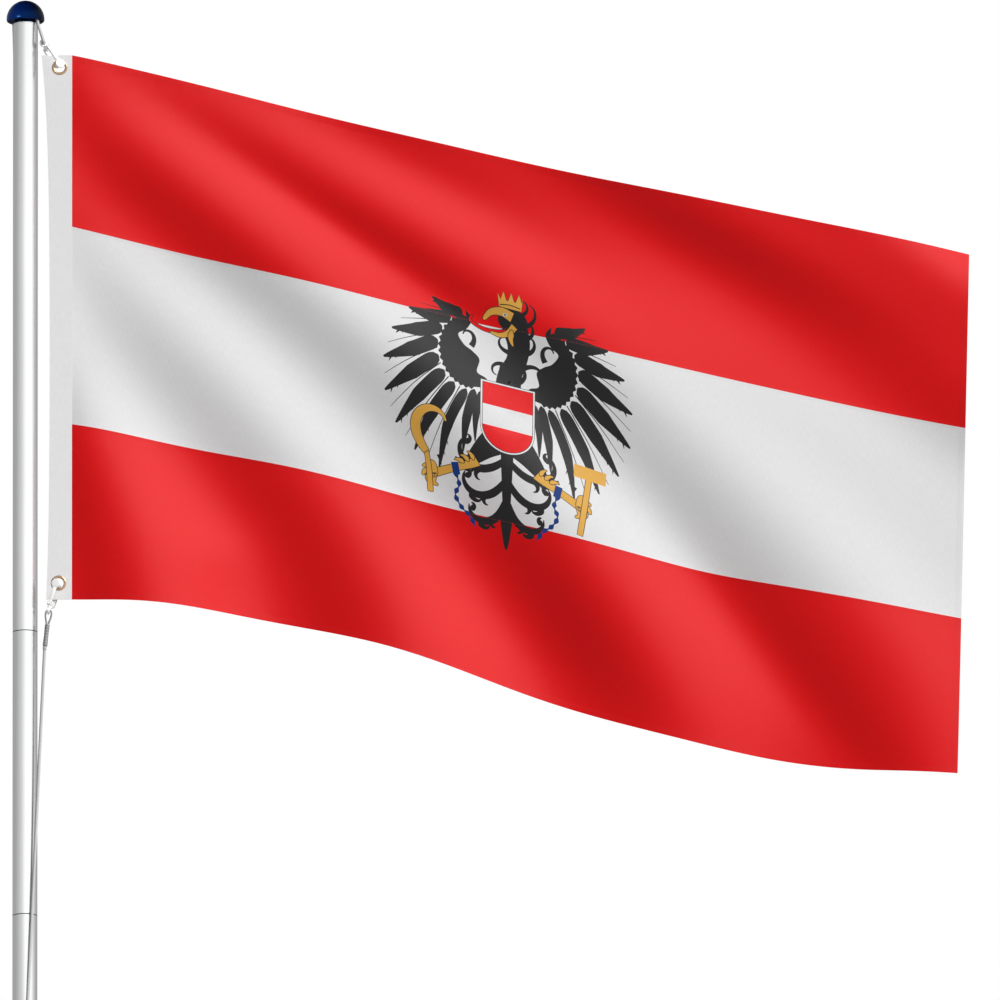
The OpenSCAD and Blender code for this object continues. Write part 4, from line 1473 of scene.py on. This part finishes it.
    def body(self) -> None:
        """Neck, ruff, head, open beak, tongue, eye and coronet."""
        self.stroke(Ink.BLACK, [-44j, 3 - 76j, 14 - 104j, 17 - 134j, 8 - 166j],
                    lambda t: 22 - 5 * math.sin(math.pi * t) ** 2, False)
        for root, angle, length, turn, width in (
                (4 - 66j, 205, 50, 200, 10), (-2 - 92j, 196, 44, -190, 9), (2 - 116j, 190, 36, 150, 9),
                (14 - 66j, -30, 50, -200, 10), (22 - 92j, -35, 52, 150, 10), (26 - 118j, -20, 46, -170, 10),
                (20 - 142j, -8, 48, -190, 10), (14 - 160j, -10, 62, -150, 11), (10 - 178j, -6, 44, -170, 9)):
            self.stroke(Ink.BLACK, scroll(root, angle, length, turn), taper(width, 1.6), False)
        self.add(Ink.BLACK, [polar(7 - 168j, 25, 19, 13 * k) for k in range(28)])
        self.stroke(Ink.RED, [2 - 150j, -20 - 146j, -44 - 147j, -64 - 156j, -60 - 166j], taper(8, 2.5), False)
        self.stroke(Ink.GOLD, [6 - 174j, -12 - 180j, -30 - 176j, -42 - 162j], lambda t: 7 * (1 - t) ** 0.5 + 0.8, False)
        self.stroke(Ink.GOLD, [10 - 160j, -148j, -14 - 142j, -30 - 144j], lambda t: 5 * (1 - t) ** 0.6 + 0.8, False)
        self.stroke(Ink.GOLD, [6 - 154j, 4 - 140j, 8 - 128j], leaf(9), False)
        eye = -6 - 176j
        self.add(Ink.WHITE, [polar(eye, 3.6, 2.6, 30 * k) for k in range(12)])
        self.add(Ink.BLACK, [polar(eye, 1.7, 1.7, 45 * k) for k in range(8)])
        points = [complex(-13 + 13 * k + x, y) for k in range(3) for x, y in ((-1, -199), (4, -213), (9, -199))]
        self.add(Ink.GOLD, [-16 - 188j, -19 - 209j, *points, 24 - 209j, 21 - 186j])
        self.stroke(Ink.BLACK, [-15 - 191j, 2 - 193j, 20 - 190j], taper(1.6, 1.6), False, 4)

    def shield(self) -> None:
        """Small shield in the flag's own stripes, with a pale border."""
        def outline(grow: float) -> list[complex]:
            """The shield's outline.

            Args:
                grow: how much larger it is all round.

            Returns:
                The outline.
            """
            w, top, straight, low = 42 + grow, -56 - grow, 14, 57 + grow
            angles = [math.pi * k / 20 for k in range(1, 20)]
            arc = [complex(w * math.cos(a), straight + (low - straight) * math.sin(a) ** 0.9) for a in angles]
            return [complex(w, top), complex(w, straight), *arc, complex(-w, straight), complex(-w, top)]
        for ink, grow in ((Ink.BLACK, 4.2), (Ink.WHITE, 3.4), (Ink.BLACK, 0.5), (Ink.RED, 0.0)):
            self.add(ink, outline(grow))
        self.add(Ink.WHITE, [-42 - 18j, 42 - 18j, 42 + 18j, -42 + 18j])

    def draw(self) -> list[Patch]:
        """Draws the whole bird.

        Returns:
            Every shape, the lowest first.
        """
        self.wings()
        self.tail()
        self.legs()
        self.body()
        self.shield()
        return self.patches


# ---------------------------------------------------------------- flag

def outline_into(points: list[Vector], edges: list[tuple[int, int]], outline: Sequence[Point]) -> None:
    """Adds a closed outline to what a flat piece is cut along.

    Args:
        points: the points so far.
        edges: the edges so far.
        outline: the outline.
    """
    first, count = len(points), len(outline)
    points += [Vector(p) for p in outline]
    edges += [(first + k, first + (k + 1) % count) for k in range(count)]


def thicken(obj: bpy.types.Object, thick: float) -> bpy.types.Modifier:
    """Gives a sheet its thickness, half to each side.

    Args:
        obj: the sheet.
        thick: its thickness.

    Returns:
        The modifier.
    """
    body = obj.modifiers.new("thickness", "SOLIDIFY")
    body.thickness = thick
    body.offset = 0
    return body


@dataclass(frozen=True)
class Fold:
    """One soft fold of the cloth, in millimetres from the hoist seam and from the top edge."""

    s: float
    t: float
    slant: float
    half_len: float
    half_width: float
    depth: float

    def height(self, s: float, t: float) -> float:
        """How far the fold lifts the cloth, in units of the flag's fold depth.

        Args:
            s: a point's distance from the hoist seam.
            t: its distance from the top edge.

        Returns:
            The lift there.
        """
        a, b, lean = s - self.s, t - self.t, math.radians(self.slant)
        along, across = a * math.cos(lean) + b * math.sin(lean), b * math.cos(lean) - a * math.sin(lean)
        return self.depth * math.exp(-(along / self.half_len) ** 2 - (across / self.half_width) ** 2)


@dataclass(frozen=True)
class Wave:
    """Waves the whole cloth long: their depth in millimetres at the hoist's top, and its change to fly and foot."""

    depth: float
    to_fly: float
    to_foot: float
    phase: float
    count: int

    def height(self, u: float, v: float, turn: float) -> float:
        """How far they lift the cloth at a share of the fly and of the hoist."""
        depth = self.depth + self.to_fly * u + self.to_foot * v
        return depth * math.cos(self.count * turn - math.radians(self.phase))


@dataclass
class Flag:
    """Three sewn panels of cloth with the emblem, and the heading at the hoist.

    The fly end hangs lower by drop, and less by drop_foot at the foot. The top edge sags, and it is pulled up a little
    by lift. The foot swings up and down by swing. All of these are in millimetres. The numbers of waves, fold_len,
    slant and single_folds are rounded from a least-squares fit made outside this file.
    """

    fly: float = FLY
    hoist: float = HOIST
    seams: tuple[float, float] = (0.3155 * HOIST, 0.6785 * HOIST)
    waves: tuple[Wave, ...] = (Wave(5.2, -18.9, 8.9, 108, 1), Wave(2.9, -7.8, 12.6, 40, 2))
    fold_depth: float = 1.35
    fold_len: float = 0.908
    slant: Point = (2.44, 1.12)
    reach: Point = (1.445, 0.022)
    drop: float = 336.0
    drop_foot: float = 44.0
    sag: float = 12.0
    swing: float = 33.0
    lift: float = 5.5
    thick: float = 1.0 * MM
    hem: float = 11 * MM
    step: float = 12 * MM
    emblem_at: complex = 0.733 + 0.437j
    head_w: float = 35.5 * MM
    grommet_hole: float = 9.05 * MM
    single_folds: tuple[Fold, ...] = (
        Fold(480, 190, 23, 330, 34, 4.8), Fold(555, 50, 16, 520, 65, 10.4), Fold(1145, 115, 11, 555, 75, 7.5),
        Fold(1190, 740, 46, 370, 58, 5.2), Fold(910, 890, 38, 400, 115, 14), Fold(245, 790, -25, 70, 55, -3.2))

    def hang(self, s: float, t: float) -> Vector:
        """Where a point of the flat cloth hangs.

        Args:
            s: its distance from the hoist seam.
            t: its distance from the top edge.

        Returns:
            The point.
        """
        u, v = s / self.fly, t / self.hoist
        turn = math.tau * (s - t * (self.slant[0] - self.slant[1] * v)) / self.fold_len
        waves = sum(wave.height(u, v, turn) for wave in self.waves)
        single = sum(fold.height(s / MM, t / MM) for fold in self.single_folds)
        ripple = self.fold_depth * (1 - math.exp(-u / 0.07)) * (waves + single)
        sag = self.sag * (1 - v) * math.sin(math.pi * u)
        fall = u * (self.drop - self.drop_foot * v ** 3) + sag - self.swing * v ** 3 * math.sin(math.tau * u)
        lift = self.lift * (1 - math.exp(-u / 0.06)) * max(0.0, 1 - 3 * v)
        out = u * (self.reach[0] - self.reach[1] * v)
        return Vector((HOIST_AT + out, FLAG_Y + ripple * MM, FLAG_TOP - t - (fall - lift) * MM))

    def hems(self) -> tuple[list[float], list[float]]:
        """Where hems and seams start and end.

        Returns:
            Distances from the hoist, and distances from the top.
        """
        ease, wide = 0.8 * MM, 4.5 * MM
        along = [self.fly - self.hem - ease, self.fly - self.hem]
        down = [self.hem, self.hem + ease, self.hoist - self.hem - ease, self.hoist - self.hem]
        for t in self.seams:
            down += [t - wide, t - wide + ease, t, t + wide - ease, t + wide]
        return along, down

    def weight(self, s: float, t: float) -> float:
        """Share of the full thickness at a point: more in hems and seams than between them."""
        near = min(t, self.hoist - t, self.fly - s) <= self.hem + 1e-6
        return 0.7 if near or any(abs(t - seam) <= 3.8 * MM for seam in self.seams) else 0.6

    def flat_mesh(self, patches: Sequence[Patch]) -> tuple[np.ndarray, np.ndarray, np.ndarray]:
        """Cuts the flat cloth into triangles along every printed outline.

        Args:
            patches: the printed shapes.

        Returns:
            The points, the triangles, and the number of each triangle's ink.
        """
        lines = []
        for length, hems in zip((self.fly, self.hoist), self.hems()):
            cuts = {round(x, 6) for x in hems}
            count = round(length / self.step)
            places = sorted({round(length * i / count, 6) for i in range(count + 1)} | cuts)
            lines.append((places, cuts | {0.0, length}))
        (columns, upright), (rows, level) = lines
        points = [Vector((x, y)) for y in rows for x in columns]
        wide = len(columns)
        edges = []
        for j, y in enumerate(rows):
            if y in level:
                edges += [(j * wide + i, j * wide + i + 1) for i in range(wide - 1)]
        for i, x in enumerate(columns):
            if x in upright:
                edges += [(j * wide + i, (j + 1) * wide + i) for j in range(len(rows) - 1)]
        shapes = [np.array([self.emblem_at + p * MM for p in patch.outline]) for patch in patches]
        for shape in shapes:
            outline_into(points, edges, [(p.real, p.imag) for p in shape])
        found = delaunay_2d_cdt(points, edges, [], 0, 2e-5, False)
        flat = np.array([tuple(p) for p in found[0]])
        triangles = np.array([tuple(f) for f in found[2]])
        middle = flat[triangles].mean(axis=1)
        inks = list(Ink)
        in_white = (middle[:, 1] > self.seams[0]) & (middle[:, 1] < self.seams[1])
        ink = np.where(in_white, inks.index(Ink.WHITE), inks.index(Ink.RED))
        for patch, shape in zip(patches, shapes):
            ink[self.inside(middle, shape)] = inks.index(patch.ink)
        return flat, triangles, ink

    @staticmethod
    def inside(middle: np.ndarray, shape: np.ndarray) -> np.ndarray:
        """Which points an outline winds round.

        Args:
            middle: the points.
            shape: the outline, as complex numbers.

        Returns:
            A truth value for each point.
        """
        result = np.zeros(len(middle), bool)
        near = ((middle[:, 0] > shape.real.min()) & (middle[:, 0] < shape.real.max())
                & (middle[:, 1] > shape.imag.min()) & (middle[:, 1] < shape.imag.max()))
        spot = middle[near, 0] + 1j * middle[near, 1]
        turn = np.zeros(len(spot))
        for a, b in zip(shape, np.roll(shape, -1)):
            turn += np.angle((b - spot) / (a - spot))
        result[near] = np.abs(turn) > math.pi
        return result

    def cloth(self) -> bpy.types.Object:
        """The three panels as one hung sheet.

        Returns:
            The sheet.
        """
        flat, triangles, inks = self.flat_mesh(Bird().draw())
        bm = bmesh.new()
        cut = bm.loops.layers.uv.new("UVMap")
        thick = bm.verts.layers.deform.verify()
        points = []
        for s, t in flat:
            point = bm.verts.new(self.hang(s, t))
            point[thick][0] = self.weight(s, t)
            points.append(point)
        for triangle, ink in zip(triangles, inks):
            face = bm.faces.new([points[k] for k in triangle])
            face.material_index = int(ink)
            face.smooth = True
            for loop, k in zip(face.loops, triangle):
                loop[cut].uv = flat[k]
        bmesh.ops.recalc_face_normals(bm, faces=bm.faces)
        for edge in bm.edges:
            edge.smooth = not edge.is_boundary
        mesh = bpy.data.meshes.new("flag_cloth")
        bm.to_mesh(mesh)
        bm.free()
        for ink in Ink:
            mesh.materials.append(ink.value.material())
        sheet = place("flag_cloth", mesh, "cloth_red", ["stripe_top", "stripe_middle", "stripe_bottom"])
        sheet.vertex_groups.new(name="thickness")
        body = thicken(sheet, self.thick)
        body.vertex_group = "thickness"
        body.use_even_offset = False
        return sheet

    def stitches(self, name: str, runs: Sequence[tuple[complex, complex]], finish: Finish,
                 slot: str) -> bpy.types.Object:
        """Stitches on both sides of the cloth or heading, along straight runs of the flat cloth.

        Args:
            name: the piece's name.
            runs: the first and the last point of each run, in metres from the hoist seam and from the top.
            finish: the thread's finish.
            slot: the material slot of the record.

        Returns:
            The object.
        """
        bm = bmesh.new()
        pitch, long, wide, high, lift, sunk = (x * MM for x in (4.0, 2.7, 0.35, 0.28, 0.42, 0.32))
        for first, last in runs:
            way = unit(last - first)
            for k in range(int(abs(last - first) / pitch)):
                spots = [first + way * (pitch * k + long * share) for share in (0.0, 0.5, 1.0)]
                a, middle, b, beside = (self.lies(q.real, q.imag) for q in (*spots, spots[1] + 1j * way * MM))
                across = (beside - middle).normalized()
                normal = (b - a).normalized().cross(across).normalized()
                for out in (-normal, normal):
                    ring = [middle + across * wide + out * lift, middle + out * (lift + high),
                            middle - across * wide + out * lift, middle + out * sunk]
                    start, *belt, end = (bm.verts.new(p) for p in (a + out * sunk, *ring, b + out * sunk))
                    for one, other in zip(belt, belt[1:] + belt[:1]):
                        bm.faces.new((start, one, other))
                        bm.faces.new((end, other, one))
        bmesh.ops.recalc_face_normals(bm, faces=bm.faces)
        return piece(name, bm, finish, slot, (), 80)

    def lies(self, s: float, t: float) -> Vector:
        """Where a point of the flat flag lies: on the hung cloth, or on the flat heading before its seam."""
        return self.hang(s, t) if s >= 0 else Vector((HOIST_AT + s, FLAG_Y, FLAG_TOP - t))

    def sewing(self) -> list[bpy.types.Object]:
        """Stitches in hems and seams, in the colour of each panel, and in the heading.

        Returns:
            The red ones, the white ones and the heading's.
        """
        end, low, (a, b) = self.fly - 3 * MM, self.hoist, self.seams
        rows = (8.5 * MM, low - 8.5 * MM, a - 1.6 * MM, b + 1.6 * MM)
        red = [(complex(2 * MM, t), complex(end, t)) for t in rows]
        white = []
        for s in (self.fly - 8.5 * MM, self.fly - 4.5 * MM):
            red += [(complex(s, 2 * MM), complex(s, a)), (complex(s, b), complex(s, low - 2 * MM))]
            white.append((complex(s, a), complex(s, b)))
        band = [(complex(-s, 3 * MM), complex(-s, low - 3 * MM)) for s in (2.5 * MM, 6 * MM)]
        return [self.stitches(*row) for row in (("red_stitches", red, RED_THREAD, "cloth_red"),
                                                ("white_stitches", white, THREAD, "cloth_white"),
                                                ("heading_stitches", band, THREAD, "cloth_white"))]

    def heading_edge(self, t: float) -> float:
        """Width of the heading at a distance from the top edge."""
        v = t / self.hoist
        return self.head_w + (14 * math.exp(-v / 0.14) + 6 * math.exp((v - 1) / 0.14)) * MM

    def heading(self) -> bpy.types.Object:
        """White band along the hoist, with a hole at each grommet.

        Returns:
            The band.
        """
        rows = [self.hoist * i / 90 for i in range(91)]
        holes = [Vector((HOIST_AT - hook.hole.x, FLAG_TOP - hook.hole.z)) for hook in (UPPER, LOWER)]
        points: list[Vector] = []
        edges: list[tuple[int, int]] = []
        outline_into(points, edges, [(0.0, t) for t in rows] + [(self.heading_edge(t), t) for t in rows[::-1]])
        for hole in holes:
            outline_into(points, edges, circle(*hole, self.grommet_hole, 48))
        for t in rows[1:-1]:
            for share in (0.12, 0.3, 0.5, 0.7, 0.88):
                p = Vector((self.heading_edge(t) * share, t))
                if all((p - hole).length > self.grommet_hole + 2 * MM for hole in holes):
                    points.append(p)
        found = delaunay_2d_cdt(points, edges, [], 0, 1e-6, False)
        bm = bmesh.new()
        cut = bm.loops.layers.uv.new("UVMap")
        verts = [bm.verts.new((HOIST_AT - p.x, FLAG_Y, FLAG_TOP - p.y)) for p in found[0]]
        for triangle in found[2]:
            middle = sum((found[0][k] for k in triangle), Vector((0, 0))) / 3
            if middle.x > self.heading_edge(middle.y) or any((middle - h).length < self.grommet_hole for h in holes):
                continue
            face = bm.faces.new([verts[k] for k in triangle])
            for loop, k in zip(face.loops, triangle):
                loop[cut].uv = (-found[0][k].x, found[0][k].y)
        bmesh.ops.delete(bm, geom=[v for v in bm.verts if not v.link_faces], context="VERTS")
        bmesh.ops.recalc_face_normals(bm, faces=bm.faces)
        band = piece("heading_band", bm, HEADING, "cloth_white", ["heading"])
        thicken(band, 1.2 * MM)
        return band

    @staticmethod
    def grommet(name: str, hole: Vector, node: str) -> None:
        """Brass ring pressed through the heading.

        Args:
            name: the piece's name.
            hole: its middle.
            node: the node it stands for.
        """
        inner, flange, half, crown = 8.25 * MM, 4.25 * MM, 0.6 * MM, 0.9 * MM
        side = [(inner + 0.75 * MM, half), (inner + flange, half)]
        for k in range(1, 10):
            a = math.pi * k / 10
            side.append((inner + flange * (0.5 + 0.5 * math.cos(a)), half + crown * math.sin(a) ** 0.8))
        side.append((inner, half))
        profile = side + [(r, -z) for r, z in side[::-1]]
        piece(name, lathe(profile, at(*hole, 90), 64), BRASS, "grommet_brass", [node])

    def build(self) -> None:
        """Makes the cloth, the heading, the grommets and the stitches."""
        sheet = self.cloth()
        band = self.heading()
        self.grommet("upper_grommet", UPPER.hole, "grommet_top")
        self.grommet("lower_grommet", LOWER.hole, "grommet_bottom")
        red, white, lines = self.sewing()


# ---------------------------------------------------------------- everything

def main() -> None:
    """Builds the studio and the flagpole."""
    logging.basicConfig(level=logging.INFO, format="%(message)s")
    studio = Studio()
    studio.build()
    for part in (Halyard(), Pole(), Foot(), Cap(), Cleat(), SnapHook(UPPER), SnapHook(LOWER), Flag()):
        part.build()
        log.info("%s built", type(part).__name__)
    studio.lamps()


if __name__ == "__main__":
    main()
